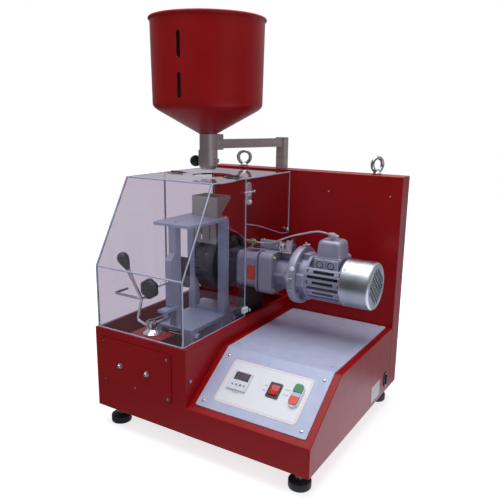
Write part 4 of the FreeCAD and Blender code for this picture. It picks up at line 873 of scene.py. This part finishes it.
def makeHeads():  # screw heads and nuts are one unit in radius, the motor's fin and lug are in mm
    cross = bmesh.new()
    for long, wide in ((0.6, 0.13), (0.13, 0.6)):
        block(cross, (-long, -wide, 0.36), (long, wide, 1), loose)
    hexagon = lathe(bmesh.new(), Vector(), [(0, 0.3), (0.55, 0.3), (0.55, 1), (0, 1)], steps=6)
    lug = block(bmesh.new(), (-7, -6, -3), (7, 6, 4), loose)
    lathe(lug, Vector((0, 0, 0.004)), [(0, 0), (2.7, 0), (2.7, 1), (1.7, 1), (1.7, 0.4), (0, 0.4)], steps=16)
    shaped = {
        "pan": turned("pan", (24, [(0, -0.12), (1, -0.12), (1, 0.2), (0.93, 0.42), (0.7, 0.6), (0.35, 0.68),
                                   (0, 0.7)]), knife=cross),
        "socket": turned("socket", (24, [(0, -0.12), (1, -0.12), (1, 0.75), (0.92, 0.85), (0, 0.85)]),
                         knife=hexagon),
        "hex": turned("hex", (24, [(0, -0.1), (1.25, -0.1), (1.25, 0.14), (0, 0.14)]),
                      (6, [(0, 0.1), (1, 0.1), (1, 0.72), (0.88, 0.82), (0, 0.82)])),
        "acorn": turned("acorn", (32, [(0, -0.05), (1, -0.05), (1, 0.16), (0, 0.16)]),
                        (6, [(0, 0.1), (0.86, 0.1), (0.86, 0.5), (0.76, 0.6), (0, 0.6)]),
                        (32, [(0, 0.4), (0.64, 0.4), (0.64, 0.75), (0.56, 1.02), (0.38, 1.2), (0.18, 1.29),
                              (0, 1.31)])),
        "rivet": turned("rivet", (20, [(0, -0.1), (1, -0.1), (0.9, 0.3), (0.6, 0.52), (0.3, 0.6),
                                       (0, 0.62)])),
        "fin": blocks("fin", "motorPaint", ((-53.4, -3.4, -2), (53.4, 3.4, 12.6)), place=loose),
        "lug": fromShape("lug", lug, "motorPaint"),
    }
    for head in shaped.values():
        bpy.context.collection.objects.link(head)
    return shaped


heads = makeHeads()
toward = {"front": Vector((0, -1, 0)), "rear": Vector((0, 1, 0)), "left": Vector((-1, 0, 0)),
          "right": Vector((1, 0, 0)), "up": Vector((0, 0, 1)),
          "slope": Vector((0, -math.sin(slopeAngle), math.cos(slopeAngle)))}


def spotsOf(side, size, *places):
    return [(at(*place), toward[side], size) for place in places]


def cornersOf(xs, ys):
    return [(x, y) for x in xs for y in ys]


motorSizes = {"y": 405, "z": 384, "bell": 452, "step": 478, "left": 505, "right": 612, "core": 57,
              "radius": 66, "fins": 26, "bellRadius": 87, "coverLeft": 612.3, "coverEnd": 700,
              "coverRadius": 70, "coverWall": 1.5}

# Screws and nuts: how large each kind is, and where it sits
screwSizes = {"slope": 4.6, "plate": 4.2, "service": 3.9, "wall": 2.4, "rear": 3.6, "hinge": 2.3, "lid": 2.6,
              "grille": 3.2, "acorn": 9, "gearbox": 5, "table": 4.6}
screwPlaces = {"slope": cornersOf((368, 662), (37, 188)), "plate": cornersOf((368, 661), (205, 570)),
               "rear": cornersOf((40, 350, 660), (40, 340, 640)),
               "wall": ((461, 585, 618), (663, 585, 617)),
               "hinge": [(x + dx, 674.5) for x in (60, 270) for dx in (-15, 15)],
               "service": ((34, 209), (36, 92), (152, 92), (267, 206), (269, 91)),
               "rail": (330, 18, 153), "arch": (320.2, 574, 479), "tube": (256, 590, 765),
               "acorn": ((97.5, -3, 148), (196.5, -3, 148)),
               "table": ((157, 184), (132, 315), (222, 342), (196, 280))}


def grilleSpots(size):
    middle, reach = at(621, motorSizes["y"], motorSizes["z"]), motorSizes["coverRadius"] / 1000
    ways = [Vector((0, math.cos(a), math.sin(a))) for a in (math.radians(45 + 90 * i) for i in range(4))]
    return [(middle + way * reach, way, size) for way in ways]


def makeFasteners(s, places):
    y, z = motorSizes["y"], motorSizes["z"]
    pans = [(onSlope(x, t, 2.4), toward["slope"], s["slope"]) for x, t in places["slope"]]
    pans += spotsOf("up", s["plate"], *((x, t, 204.4) for x, t in places["plate"]))
    pans += spotsOf("front", s["wall"], *places["wall"])
    pans += spotsOf("rear", s["rear"], *((x, 650, h) for x, h in places["rear"]))
    pans += spotsOf("up", s["hinge"], *((x, 331, h) for x, h in places["hinge"]))
    lid = cornersOf((527.5, 596.5), (y - 34.5, y + 34.5))
    pans += spotsOf("up", s["lid"], *((x, t, 459.8) for x, t in lid))
    pans += grilleSpots(s["grille"])
    service = spotsOf("front", s["service"], *((x, -2.9, h) for x, h in places["service"]))
    flange = cornersOf((y - 50, y + 50), (z - 50, z + 50))
    gearbox = spotsOf("right", s["gearbox"], *((397.5, t, h) for t, h in flange))
    sockets = spotsOf("right", 4.5, places["rail"]) + spotsOf("right", 6, places["arch"])
    sockets.append((at(*places["tube"]), Vector((0.94, -0.35, 0)), 5))
    parts = [scatter("pan", "zinc", pans, 1.5), scatter("pan", "steelDark", service, 1.5, 5),
             scatter("hex", "yellowZinc", gearbox), scatter("socket", "zinc", sockets)]
    adopt(merged("cabinetFasteners", parts), "cabinet")
    acorns = spotsOf("front", s["acorn"], *places["acorn"])
    standIn(merged("acornNuts", [scatter("acorn", "chrome", acorns)]), "dome_nuts")
    table = spotsOf("up", s["table"], *((x, t, 543.8) for x, t in places["table"]))
    adopt(merged("trolleyFasteners", [scatter("socket", "zinc", table, 1)]), "trolley")
    leaves = spotsOf("up", s["hinge"], *((x, 297, h) for x, h in places["hinge"]))
    adopt(merged("hoodFasteners", [scatter("pan", "zinc", leaves, 1.5)]), "hood")


makeFasteners(screwSizes, screwPlaces)
print("stage 8: fasteners")


# Motor: terminal box, bell housing, finned body, perforated fan cover
def onMotor(radius, degrees, x):  # a place about the motor's axis; 0 faces the front, 90 is up
    turn = math.radians(degrees)
    return at(x, motorSizes["y"] - radius * math.cos(turn), motorSizes["z"] + radius * math.sin(turn))


def outward(degrees):
    return Vector((0, -math.cos(math.radians(degrees)), math.sin(math.radians(degrees))))


def motorSpots(size, *places):  # heads at (radius, degrees, x), facing away from the axis
    return [(onMotor(radius, degrees, x), outward(degrees), size) for radius, degrees, x in places]


def makeBell(s):
    centre = at(0, s["y"], s["z"])
    x, step, end, flange = s["bell"], s["step"], s["left"], s["bellRadius"]
    hub, seat = s["core"] - 1, s["radius"] + 2
    bm = lathe(bmesh.new(), centre, [
        (0, x), (flange - 7, x), (flange - 3, x + 1), (flange - 0.6, x + 3.6), (flange, x + 7),
        (flange, step - 4), (flange - 1, step - 1.2), (flange - 4, step), (flange - 13, step),
        (flange - 15, step - 6), (hub + 2, step - 6), (hub, step), (hub, end - 5), (seat - 1, end - 5),
        (seat, end - 4), (seat, end), (0, end)], "X", 96)
    lathe(bm, centre, [(flange - 2, x + 12.2), (flange + 0.5, x + 12.2), (flange + 0.5, x + 13.6),
                       (flange - 2, x + 13.6), (flange - 2, x + 12.2)], "X", 96)
    legs = bmesh.new()
    for degrees in (0, 90, 180, 270):
        side, up = outward(degrees).cross(toward["right"]), outward(degrees)

        def onLeg(u, v, w):
            return centre + (toward["right"] * u + side * v + up * w) / 1000

        block(legs, (step - 7, -19, 50), (end - 3, 19, 71), onLeg)
    small = bmesh.new()
    for degrees, place, size in ((5, 464, 4.4), (96, 470, 3.6)):
        middle = onMotor(flange + 5, degrees, place)
        lathe(small, middle, [(0, 0), (size, 0), (size, 5), (size * 0.6, 6), (size * 0.6, 9), (0, 9)],
              frameOf(outward(degrees)), 24)
        lathe(small, middle, [(0, 0), (3, 0), (3, 13), (2.2, 14), (0, 14)], "X", 20)
    bolts = [(onMotor(65, degrees, step - 6), toward["right"], 5) for degrees in (45, 135, 225, 315)]
    nuts = motorSpots(9, (86.6, 5, 462)) + motorSpots(8, (86.6, 96, 468)) + motorSpots(4, (86.6, -18, 468))
    plug = motorSpots(7, (86.7, 23.5, 471))
    shell = edged(fromShape("bellLegs", legs, "motorPaint"), 4, 3)
    parts = [fromShape("bellHousing", bm, "motorPaint", 40), shell, scatter("hex", "yellowZinc", bolts),
             scatter("pan", "palePlastic", plug), scatter("hex", "zinc", nuts),
             fromShape("nipples", small, "zinc")]
    standIn(merged("bellHousing", parts), "motor_bell")


def knockouts():  # two rings on each side of the stand under the terminal box, with painted shade at the bottom of each groove
    bm = bmesh.new()
    for x in (543.7, 578.5):
        for side, y in ((-1, 357), (1, 453)):
            across = (Vector((1, 0, 0)), Vector((0, 0, 1)), Vector((0, side, 0)))
            middle = at(x, y, 436)
            rim = [(0, -1), (13, -1), (13, 2.2), (12.2, 2.8), (11.2, 2.8), (10.8, 1), (0, 1)]
            lathe(bm, middle, rim, across, 32)
            lathe(bm, middle, [(0, 0.5), (7.8, 0.5), (7.8, 2.3), (7.2, 2.8), (0, 2.8)], across, 32)
            # painted shade: a thin dark ring at the bottom of the groove
            lathe(bm, middle, [(7.6, 0.9), (11, 0.9), (11, 1.2), (7.6, 1.2), (7.6, 0.9)], across, 32, 1)
    return fromShape("knockouts", bm, "motorPaint darkSteel")


def makeMotor(s):
    centre = at(0, s["y"], s["z"])
    left, right, core, radius = s["left"], s["right"], s["core"], s["radius"]
    body = lathe(bmesh.new(), centre, [(0, left), (radius + 1, left), (radius + 1, left + 3),
                                       (radius - 1, left + 5), (core + 1, left + 5.5),
                                       (core + 1, right - 5.5), (radius - 1, right - 5), (radius, right - 3),
                                       (radius, right), (0, right)], "X", 96)
    # a thin dark sheet over the core between the fins: painted shade in the gaps
    shade = lathe(bmesh.new(), centre, [(core, left + 5), (core + 1.3, left + 5), (core + 1.3, right - 5),
                                        (core, right - 5), (core, left + 5)], "X", 96)
    turns = [90 + i * 360 / s["fins"] for i in range(s["fins"]) if 3.5 < i < s["fins"] - 3.5]
    fins = motorSpots(1, *((core - 1, turn, (left + right) / 2) for turn in turns))
    lugs = motorSpots(1, *((radius - 0.5, turn, x) for turn in (0, 29, -29, 180, 151, 209)
                           for x in (left + 17, right - 10)))
    stand = blocks("boxStand", "motorPaint", ((524, 357, 414), (600, 453, 452)))
    parts = [fromShape("motorCore", body, "motorPaint", 40), scatter("fin", "motorPaint", fins),
             scatter("lug", "motorPaint", lugs), edged(stand, 2.5, 3), knockouts(),
             fromShape("finShade", shade, "finShade", 40)]
    standIn(merged("motorBody", parts), "motor_body")


def longHole(u, v):
    radius, rise = 3.5, 4.4
    upper = arc(u, v + rise, radius, 15, 165, 5)
    lower = arc(u, v - rise, radius, 195, 345, 5)
    return upper + lower


def grilleSlots(reach):
    pitch, rowPitch = 9.6, 18
    slots = []
    for column in range(-6, 7):
        for row in range(-4, 5):
            slot = longHole(column * pitch, row * rowPitch + (rowPitch / 2 if column % 2 else 0))
            if all(math.hypot(*point) < reach for point in slot):
                slots.append(slot)
    return slots


def makeFanCover(s):
    centre = at(0, s["y"], s["z"])
    left, end, radius = s["coverLeft"], s["coverEnd"], s["coverRadius"]
    inner = radius - s["coverWall"]
    bm = lathe(bmesh.new(), centre, [
        (inner, left), (radius, left), (radius + 0.7, left + 1.2), (radius, left + 2.4), (radius, end - 9),
        (radius - 1, end - 5), (radius - 3, end - 2), (radius - 6, end - 0.5), (radius - 9, end),
        (radius - 12, end - 0.4), (radius - 12.6, end - 1.6), (radius - 10, end - 1.8),
        (radius - 7, end - 2.6), (inner - 2.6, end - 5.6), (inner, end - 10), (inner, left)], "X", 128)
    # the cover's inward faces take the dark painted shade, so the grille slots look dark inside
    for face in bm.faces:
        middle = face.calc_center_median() - centre
        if face.normal.y * middle.y + face.normal.z * middle.z < 0:
            face.material_index = 1

    def onGrille(u, v, w):
        return centre + Vector((end - 1.8 + w, u, v)) / 1000

    rim = arc(0, 0, radius - 11.5, 0, 360, 96)[:-1]
    grille = flatSolid("grille", [rim] + grilleSlots(radius - 12.5), 0, 1, onGrille, "galvanised")
    standIn(merged("fanCover", [fromShape("coverShell", bm, "galvanised finShade", 50), grille]),
            "fan_cover")


boxSizes = {"left": 524, "right": 600, "front": 367, "back": 443, "floor": 450, "screwInset": 1.5,
            "rings": ((0, -0.5, 5), (0, 5, 5), (0.8, 5.8, 5), (1.6, 5.8, 6), (3.4, 42, 10), (4.2, 46.5, 11),
                      (5.8, 50, 12), (8.4, 52.6, 13), (12.5, 53.9, 14))}  # inset, height and corner radius


def makeTerminalBox(s):
    left, right, front, back, floor = (s[key] for key in ("left", "right", "front", "back", "floor"))
    bm = bmesh.new()
    rings = []
    for inset, rise, bend in s["rings"]:
        outline = roundedRectangle(left + inset, right - inset, front + inset, back - inset, bend)
        rings.append([bm.verts.new(at(x, y, floor + rise)) for x, y in outline])
    bridge(bm, rings)
    bm.faces.new(rings[-1])
    bm.faces.new(rings[0][::-1])
    inset = s["screwInset"]
    ears = cornersOf((left + inset, right - inset), (front + inset, back - inset))
    for x, y in ears:
        lathe(bm, at(x, y, floor), [(0, -0.5), (6, -0.5), (6, 5), (5, 6.2), (0, 6.2)], steps=24)
    screws = spotsOf("up", 3.4, *((x, y, floor + 6) for x, y in ears))
    box = [fromShape("boxLid", bm, "motorPaint", 40), scatter("pan", "zinc", screws)]
    standIn(merged("terminalBox", box), "terminal_box")


makeTerminalBox(boxSizes)
makeBell(motorSizes)
makeMotor(motorSizes)
makeFanCover(motorSizes)
print("stage 9: motor")


# Pale polished edges of the clear sheets: opaque beads as a painted highlight for the light the edges catch
def beads(paths, name, body, radius):
    bm = bmesh.new()
    for path in paths:
        tube(bm, path, radius, 10)
    adopt(fromShape(name, bm, "clearEdge", 50), body)


def makeEdges(s):
    inset, radius, archRadius = s["beadInset"], s["beadRadius"], s["archBead"]
    left, right, top, low = s["left"] + inset, s["right"] - inset, s["top"] - inset, s["low"] + inset
    front, back, knee, slopeTop = s["front"] + inset, s["back"] - inset, s["knee"], s["slopeTop"]
    near, far = s["seam"] - s["gap"] - 2.4, s["seam"] + s["gap"] + 2.4
    side = [(front, low), (front, knee), (slopeTop, top), (near, top), (near, low), (front, low)]
    paths = [[(x, y, z) for y, z in side] for x in (left, right)]
    paths += [[(left, y, z), (right, y, z)] for y, z in ((front, low), (front, knee), (slopeTop, top))]
    beads(paths, "hoodEdges", "hood", radius)
    paths = [[(left, far, top), (left, back, top), (left, back, low), (left, far, low)],
             [(right, back, s["archEnd"]), (right, back, top), (right, far, top)]]
    beads(paths, "coverEdges", "cabinet", radius)
    beads([archOf(s, right, far, back)], "archEdge", "cabinet", archRadius)


makeEdges(guardSizes)

# Catch that holds the hood, the hood's stop block and the thumb screws
catchSizes = {"y": 322, "z": 627, "left": 320.3, "wide": 24, "long": 68, "thick": 4, "pinReach": 24,
              "pinRadius": 2.4, "pinBall": 4, "ball": 8, "ballDrop": 25,
              "stop": ((320.4, 288, 264), (331, 312.5, 281)),
              "thumbs": (((320, 327, 267), 6), ((320, 570, 481), 8))}


def makeCatch(s):
    y, z, left, reach = s["y"], s["z"], s["left"], s["pinReach"]
    pinX, pinZ = left + 6.5, z + 5
    bar = flatSolid("catchBar", [stadiumOf(y, z, s["wide"], s["long"])], left, left + s["thick"], sideways,
                    "satinSteel")
    bm = bmesh.new()
    tube(bm, [(pinX, y - reach, pinZ), (pinX, y + reach, pinZ)], s["pinRadius"], 16)
    for end in (y - reach, y + reach):
        lathe(bm, at(pinX, end, pinZ), ballOf(s["pinBall"], 8), "Y", 16)
    lathe(bm, at(left, y, z), [(0, -8), (3, -8), (3, 3.9), (9, 4), (9, 7), (6, 9.5), (0, 10)], "X", 32)
    lathe(bm, at(left + 5, y, z - s["ballDrop"]), ballOf(s["ball"], 12), "X", 32)
    standIn(merged("catch", [edged(bar, 1, 3), fromShape("catchPins", bm, "satinSteel", 40)]), "hood_latch")
    adopt(edged(blocks("hoodStop", "palePlastic", s["stop"]), 2, 3), "hood")
    knob = bmesh.new()
    for place, size in s["thumbs"]:
        profile = [(0, 0), (size * 0.5, 0), (size * 0.5, 4), (size, 4.5), (size * 1.05, 7), (size, 9.5),
                   (size * 0.6, 11.5), (0, 12)]
        lathe(knob, at(*place), profile, "X", 32)
    adopt(fromShape("thumbScrews", knob, "chrome", 40), "cabinet")


makeCatch(catchSizes)
print("stage 10: guard fittings")

# Toggle clamp and its pear knob
toggleSizes = {"x": 176, "y": 50, "floor": 247, "pivot": 271, "footRadius": 26, "elbow": 139, "bailZ": 343,
               "bailFar": 103, "bailLeft": 36, "gripX": 86, "gripZ": 430, "rod": 4.4, "bail": 3.8,
               "bend": 11, "gripLong": 54, "gripRadius": 17}
pearProfile = ((0, 0), (0.3, 0), (0.36, 0.02), (0.42, 0.08), (0.53, 0.18), (0.67, 0.28), (0.81, 0.39),
               (0.92, 0.5), (0.98, 0.6), (1, 0.69), (0.96, 0.78), (0.86, 0.86), (0.68, 0.93), (0.42, 0.98),
               (0.2, 0.997), (0, 1))


def makeToggleFoot(s):
    x, y, pivot, floor, radius = s["x"], s["y"], s["pivot"], s["floor"], s["footRadius"]
    foot = lathe(bmesh.new(), at(x, y, 0), [
        (0, floor), (radius - 1, floor), (radius, floor + 0.8), (radius, floor + 3.2),
        (radius - 1.4, floor + 4.4), (radius - 3.5, floor + 5), (15.6, pivot - 10.8), (14, pivot - 9.6),
        (0, pivot - 9.6)])
    post = block(bmesh.new(), (x - 6, y - 9, pivot - 12), (x + 6, y + 9, pivot + 2))
    lathe(post, at(x - 6, y, pivot), [(0, 0), (9, 0), (9, 12), (0, 12)], "X", 32)
    bolts = spotsOf("up", 3, *((u, v, floor + 5.2) for u, v in arc(x, y, radius - 5.5, 30, 330, 5)))
    parts = [fromShape("toggleFoot", foot, "chrome"), edged(fromShape("togglePost", post, "chrome"), 1.2, 3),
             scatter("hex", "zinc", bolts)]
    standIn(merged("toggleFoot", parts), "toggle_base")


def makeToggleLever(s):
    x, y, pivot, elbow = s["x"], s["y"], s["pivot"], s["elbow"]
    bailZ, bailLeft, far = s["bailZ"], s["bailLeft"], s["bailFar"]
    cheeks = blocks("cheeks", "rodChrome", ((x - 10.3, y - 14, pivot - 6), (x - 6.3, y + 6, pivot + 16)),
                    ((x + 6.3, y - 14, pivot - 6), (x + 10.3, y + 6, pivot + 16)))
    rods = lathe(bmesh.new(), at(x - 17, y, pivot + 7), [(0, 0), (3.4, 0), (3.4, 34), (0, 34)], "X", 24)
    pin = [(0, 0), (5, 0), (5, 1.7), (2, 1.7), (2, 22.3), (5, 22.3), (5, 24), (0, 24)]
    lathe(rods, at(x - 12, y, pivot), pin, "X", 24)
    lever = [(x - 9.3, y - 12, pivot + 2), (x - 46, y - 8, pivot + 9), (elbow, y, bailZ),
             (s["gripX"], y, s["gripZ"])]
    bail = [(elbow, far, bailZ), (elbow, y, bailZ), (bailLeft, y, bailZ), (bailLeft, far, bailZ)]
    tube(rods, rounded(lever, s["bend"]), s["rod"], 24)
    tube(rods, rounded(bail, s["bend"]), s["bail"], 24)
    lean = Vector((s["gripX"] - elbow, 0, s["gripZ"] - bailZ)).normalized()
    end = at(s["gripX"], y, s["gripZ"])
    lathe(rods, end - lean * 0.03, [(0, -8), (5.2, -8), (5.8, -6), (5.8, 10), (5.4, 12), (5.4, 24), (0, 24)],
          frameOf(lean), 32)
    parts = [edged(cheeks, 1.4, 3), fromShape("rods", rods, "rodChrome", 50)]
    standIn(merged("toggleLever", parts), "toggle_lever")
    profile = [(wide * s["gripRadius"], up * s["gripLong"]) for wide, up in pearProfile]
    bm = lathe(bmesh.new(), end - lean * 0.012, profile, frameOf(lean))
    standIn(fromShape("pearKnob", bm, "blackPlastic", 60), "pear_knob")


makeToggleFoot(toggleSizes)
makeToggleLever(toggleSizes)

# Star knob of the clamping screw; its rings are (share of the radius, depth)
starSizes = {"x": 165, "y": 43, "z": 376, "radius": 30, "lobes": 6, "lobeDepth": 0.055,
             "rings": ((0, -0.6), (0.35, -0.6), (0.66, 0), (0.84, 1.6), (0.94, 4.2), (0.98, 8), (1, 12),
                       (0.98, 16.5), (0.93, 20.3), (0.82, 23), (0.66, 24.6), (0.6, 26), (0.46, 33),
                       (0.42, 34), (0, 34))}


def makeStarKnob(s):
    bm = bmesh.new()
    steps = s["lobes"] * 16
    rings = []
    for share, deep in s["rings"]:
        place = at(s["x"], s["y"] + deep, s["z"])
        fade = s["lobeDepth"] * min(1, max(0, (share - 0.45) * 2.4))  # the middle of the knob stays round
        ring = []
        for turn in (2 * math.pi * i / steps for i in range(steps)):
            lobed = 1 - fade * (1 - math.cos(s["lobes"] * (turn - math.pi / 6)))
            reach = s["radius"] * share * lobed / 1000
            ring.append(place + Vector((math.cos(turn), 0, math.sin(turn))) * reach)
        rings.append([bm.verts.new(spot) for spot in (ring if share else [place])])
    bridge(bm, rings)
    profile = [(0, 0.4), (7, 0.4), (7, -0.5), (6, -1.1), (0, -1.2)]
    cap = lathe(bmesh.new(), at(s["x"], s["y"] - 0.5, s["z"]), profile, "Y", 32)
    parts = [fromShape("starKnob", bm, "blackPlastic", 60), fromShape("knobCap", cap, "darkSteel")]
    standIn(merged("starKnob", parts), "star_knob")


makeStarKnob(starSizes)
print("stage 11: toggle and knobs")

# Feet: rubber pad, threaded stud, two nuts
footSizes = {"left": 46, "right": 654, "front": 46, "back": 604, "drop": 60, "radius": 30, "nutReach": 12.8,
             "nuts": ((-9.8, 9.4), (-35.9, 7.5)), "studRadius": 7.9, "threads": 14, "pitch": 2.5}


def makeFeet(s):
    pads, studs = bmesh.new(), bmesh.new()
    drop, radius, thick, reach = s["drop"], s["radius"], s["studRadius"], s["nutReach"]
    pad = [(0, 0), (radius - 3, 0), (radius - 1, 1), (radius, 4), (radius, 18), (radius - 0.6, 20.6),
           (radius - 2.6, 22), (radius - 6, 22.6), (15, 23.4), (14, 24), (8.3, 24), (8.3, 12), (0, 12)]
    thread = [(0, 12.5), (thick - 0.3, 12.5)]
    for i in range(s["threads"]):
        thread += [(thick, 16 + i * s["pitch"]), (thick - 0.6, 17.2 + i * s["pitch"])]
    thread += [(thick, drop - 0.3), (0, drop - 0.3)]
    for x, y in cornersOf((s["left"], s["right"]), (s["front"], s["back"])):
        lathe(pads, at(x, y, -drop), pad)
        lathe(studs, at(x, y, -drop), thread, steps=32)
        for low, tall in s["nuts"]:
            nut = [(0, 0), (reach, 0), (reach, tall - 1.2), (reach - 1.4, tall), (0, tall)]
            lathe(studs, at(x, y, low), nut, steps=6)
    standIn(fromShape("footPads", pads, "rubber", 40), "foot_pads")
    standIn(fromShape("footStuds", studs, "zinc", 30), "foot_studs")


# The bend between the sloping plate and the level one, as a strip of this section
foldSizes = {"left": 350, "right": 680,
             "section": ((173.3, 201.8), (175.6, 203.4), (177.3, 204.2), (179.4, 204.56), (184.5, 204.56),
                         (184.5, 202.1), (178, 202.1), (175.7, 200.55))}


def makeFold(s):
    bm = bmesh.new()
    rings = [[bm.verts.new(at(x, y, z)) for y, z in s["section"]] for x in (s["left"], s["right"])]
    bm.faces.new(rings[0])
    bm.faces.new(rings[1][::-1])
    bridge(bm, rings)
    adopt(fromShape("plateFold", bm, "panelAlloy", 40), "cabinet")


# Strip at the front joint, rating plate, power inlet, bolts on the arm, gearbox label, sensor mount
plateSizes = {"side": 700, "rating": (420, 492, 16, 66, 3), "ratingPins": ((424, 488), (20, 62)),
              "inlet": (545, 44), "inletRim": (28, 48), "inletHole": (20, 40), "inletFloor": (21, 41),
              "prongs": ((545, 52), (541, 38), (549, 38)), "inletScrews": (24.5, 63.5),
              "joint": ((326, -0.06, 0.4), (334, 2.5, 79.4)),
              "label": ((302, 348.55, 356), (332, 349.1, 403)),
              "sensorBlock": ((318, 400, 451), (392, 411, 476)),
              "sensorStop": (((396, 383, 451), (420, 406, 478)), ((436, 384, 451), (440, 411, 492))),
              "stopScrew": (407, 383.1, 466), "blockScrews": ((330, 400.1, 464), (380, 400.1, 464)),
              "blockRivet": (330, 405, 475.9)}


def makePlates(s):
    def onRight(u, v, w):
        return at(s["side"] + w, u, v)

    adopt(blocks("frontJoint", "redCoat", s["joint"]), "cabinet")
    plate = flatSolid("ratingPlate", [roundedRectangle(*s["rating"])], 0, 0.6, onRight, "barePlate")
    pins = spotsOf("right", 1.8, *((s["side"] + 0.5, y, z) for y, z in cornersOf(*s["ratingPins"])))
    adopt(merged("ratingPlate", [plate, scatter("rivet", "zinc", pins)]), "cabinet")
    y, z = s["inlet"]
    rings = [stadiumOf(y, z, *s["inletRim"]), stadiumOf(y, z, *s["inletHole"])]
    ring = flatSolid("inletFlange", rings, -0.5, 2.4, onRight, "blackPlastic")
    well = flatSolid("inletWell", [stadiumOf(y, z, *s["inletFloor"])], -14, -3, onRight, "darkSteel")
    prongs = spotsOf("right", 2.6, *((s["side"] - 3, v, w) for v, w in s["prongs"]))
    screws = spotsOf("right", 2.2, *((s["side"] + 2.3, y, w) for w in s["inletScrews"]))
    inlet = [edged(ring, 1, 3), well, scatter("rivet", "zinc", prongs), scatter("pan", "zinc", screws)]
    standIn(merged("inlet", inlet), "power_inlet")


def makeMounts(s):
    side = Vector((0.937, -0.3495, 0))
    bolts = [(at(263.5, 599, 766) + side * 0.007, side, 5), (at(262, 595, 779), toward["up"], 4.5)]
    adopt(scatter("hex", "zinc", bolts), "cabinet")
    adopt(edged(blocks("gearLabel", "bareLabel", s["label"]), 0.2), "cabinet")
    sockets = spotsOf("front", 8.4, s["stopScrew"]) + spotsOf("front", 5, *s["blockScrews"])
    rivets = spotsOf("up", 4, s["blockRivet"])
    parts = [edged(blocks("sensorBlock", "gearPaint", s["sensorBlock"]), 1.6, 3),
             edged(blocks("sensorStop", "zinc", *s["sensorStop"]), 1.2, 3),
             scatter("socket", "zinc", sockets), scatter("rivet", "zinc", rivets)]
    adopt(merged("sensorMount", parts), "cabinet")


makeFeet(footSizes)
makeFold(foldSizes)
makePlates(plateSizes)
makeMounts(plateSizes)
print("stage 12: feet and plates")

# Marks on the counter, its keys and the push buttons; key marks lie about the middle of their key
markSizes = {"counterFace": 7, "window": (-19.6, 25.6, 0.4, 24.6, 1), "digits": 6, "digitPitch": 7,
             "digitT": 12.5, "keyStart": -14, "keyPitch": 12, "keyT": -14, "lens": (12.4, 5.6),
             "signs": {"start": "I", "stop": "O"},
             "keys": (((-2.8, -2.4), (2.8, -2.4), (-2.8, 2.8)),
                      ((-3, -2.4), (3, -2.4), (0, 2.9)),
                      ((-2.5, -2.5), (2.5, -2.5), (2.5, 2.5), (-2.5, 2.5)),
                      ((-3, 2.5), (3, 2.5), (0, -2.8)))}


def makeDisplay(s, x, t, face):
    left, right, low, high, bend = s["window"]
    outline = roundedRectangle(x + left, x + right, t + low, t + high, bend)
    window = flatSolid("window", [outline], face - 0.98, face - 0.25, onSlope, "displayGlass")
    bars = [(-2, 2, y, y) for y in (4, -4)]
    bars += [(u, u, v, v + 3.2) for u in (-2.4, 2.4) for v in (0.4, -3.6)]
    half = 0.4
    boxes = []
    for i in range(s["digits"]):
        middle, level = x + 3 + (i - 2.5) * s["digitPitch"], t + s["digitT"]
        for u0, u1, v0, v1 in bars:
            boxes.append(((middle + u0 - half, level + v0 - half, face - 0.26),
                          (middle + u1 + half, level + v1 + half, face - 0.2)))
    digits = blocks("digits", "displayMark", *boxes, place=onSlope)
    adopt(merged("counterDisplay", [window, digits]), "cabinet")


def makeMarks(s, panel):
    x, t, face = panel["counterX"], panel["counterT"], panel["thick"] + s["counterFace"]
    makeDisplay(s, x, t, face)
    for i, mark in enumerate(s["keys"]):
        middle, top = x + s["keyStart"] + i * s["keyPitch"], face + 1.2
        outline = [(middle + u, t + s["keyT"] + v) for u, v in mark]
        sign = flatSolid("keyMark", [outline], top, top + 0.08, onSlope, "blackPlastic")
        adopt(sign, f"key_{i + 1}")
    x, t, face = panel["buttonX"], panel["buttonT"], panel["thick"]
    lens = flatSolid("lens", [around(x, t, *s["lens"])], face + 7.9, face + 9, onSlope, "lensPale")
    adopt(edged(lens, 0.8, 3), "cabinet")
    for (body, text), rise in zip(s["signs"].items(), (18, -18)):
        adopt(lettering(text, x, t + rise, face + 8, 9, "lensPale"), body)


makeMarks(markSizes, panelSizes)
for node in ("start_button", "stop_button", "rocker", "button_frame", "counter_key_1", "counter_key_2",
             "counter_key_3", "counter_key_4"):
    refined(node, 0.5)
print("stage 13: marks")

for head in heads.values():
    bpy.data.objects.remove(head)
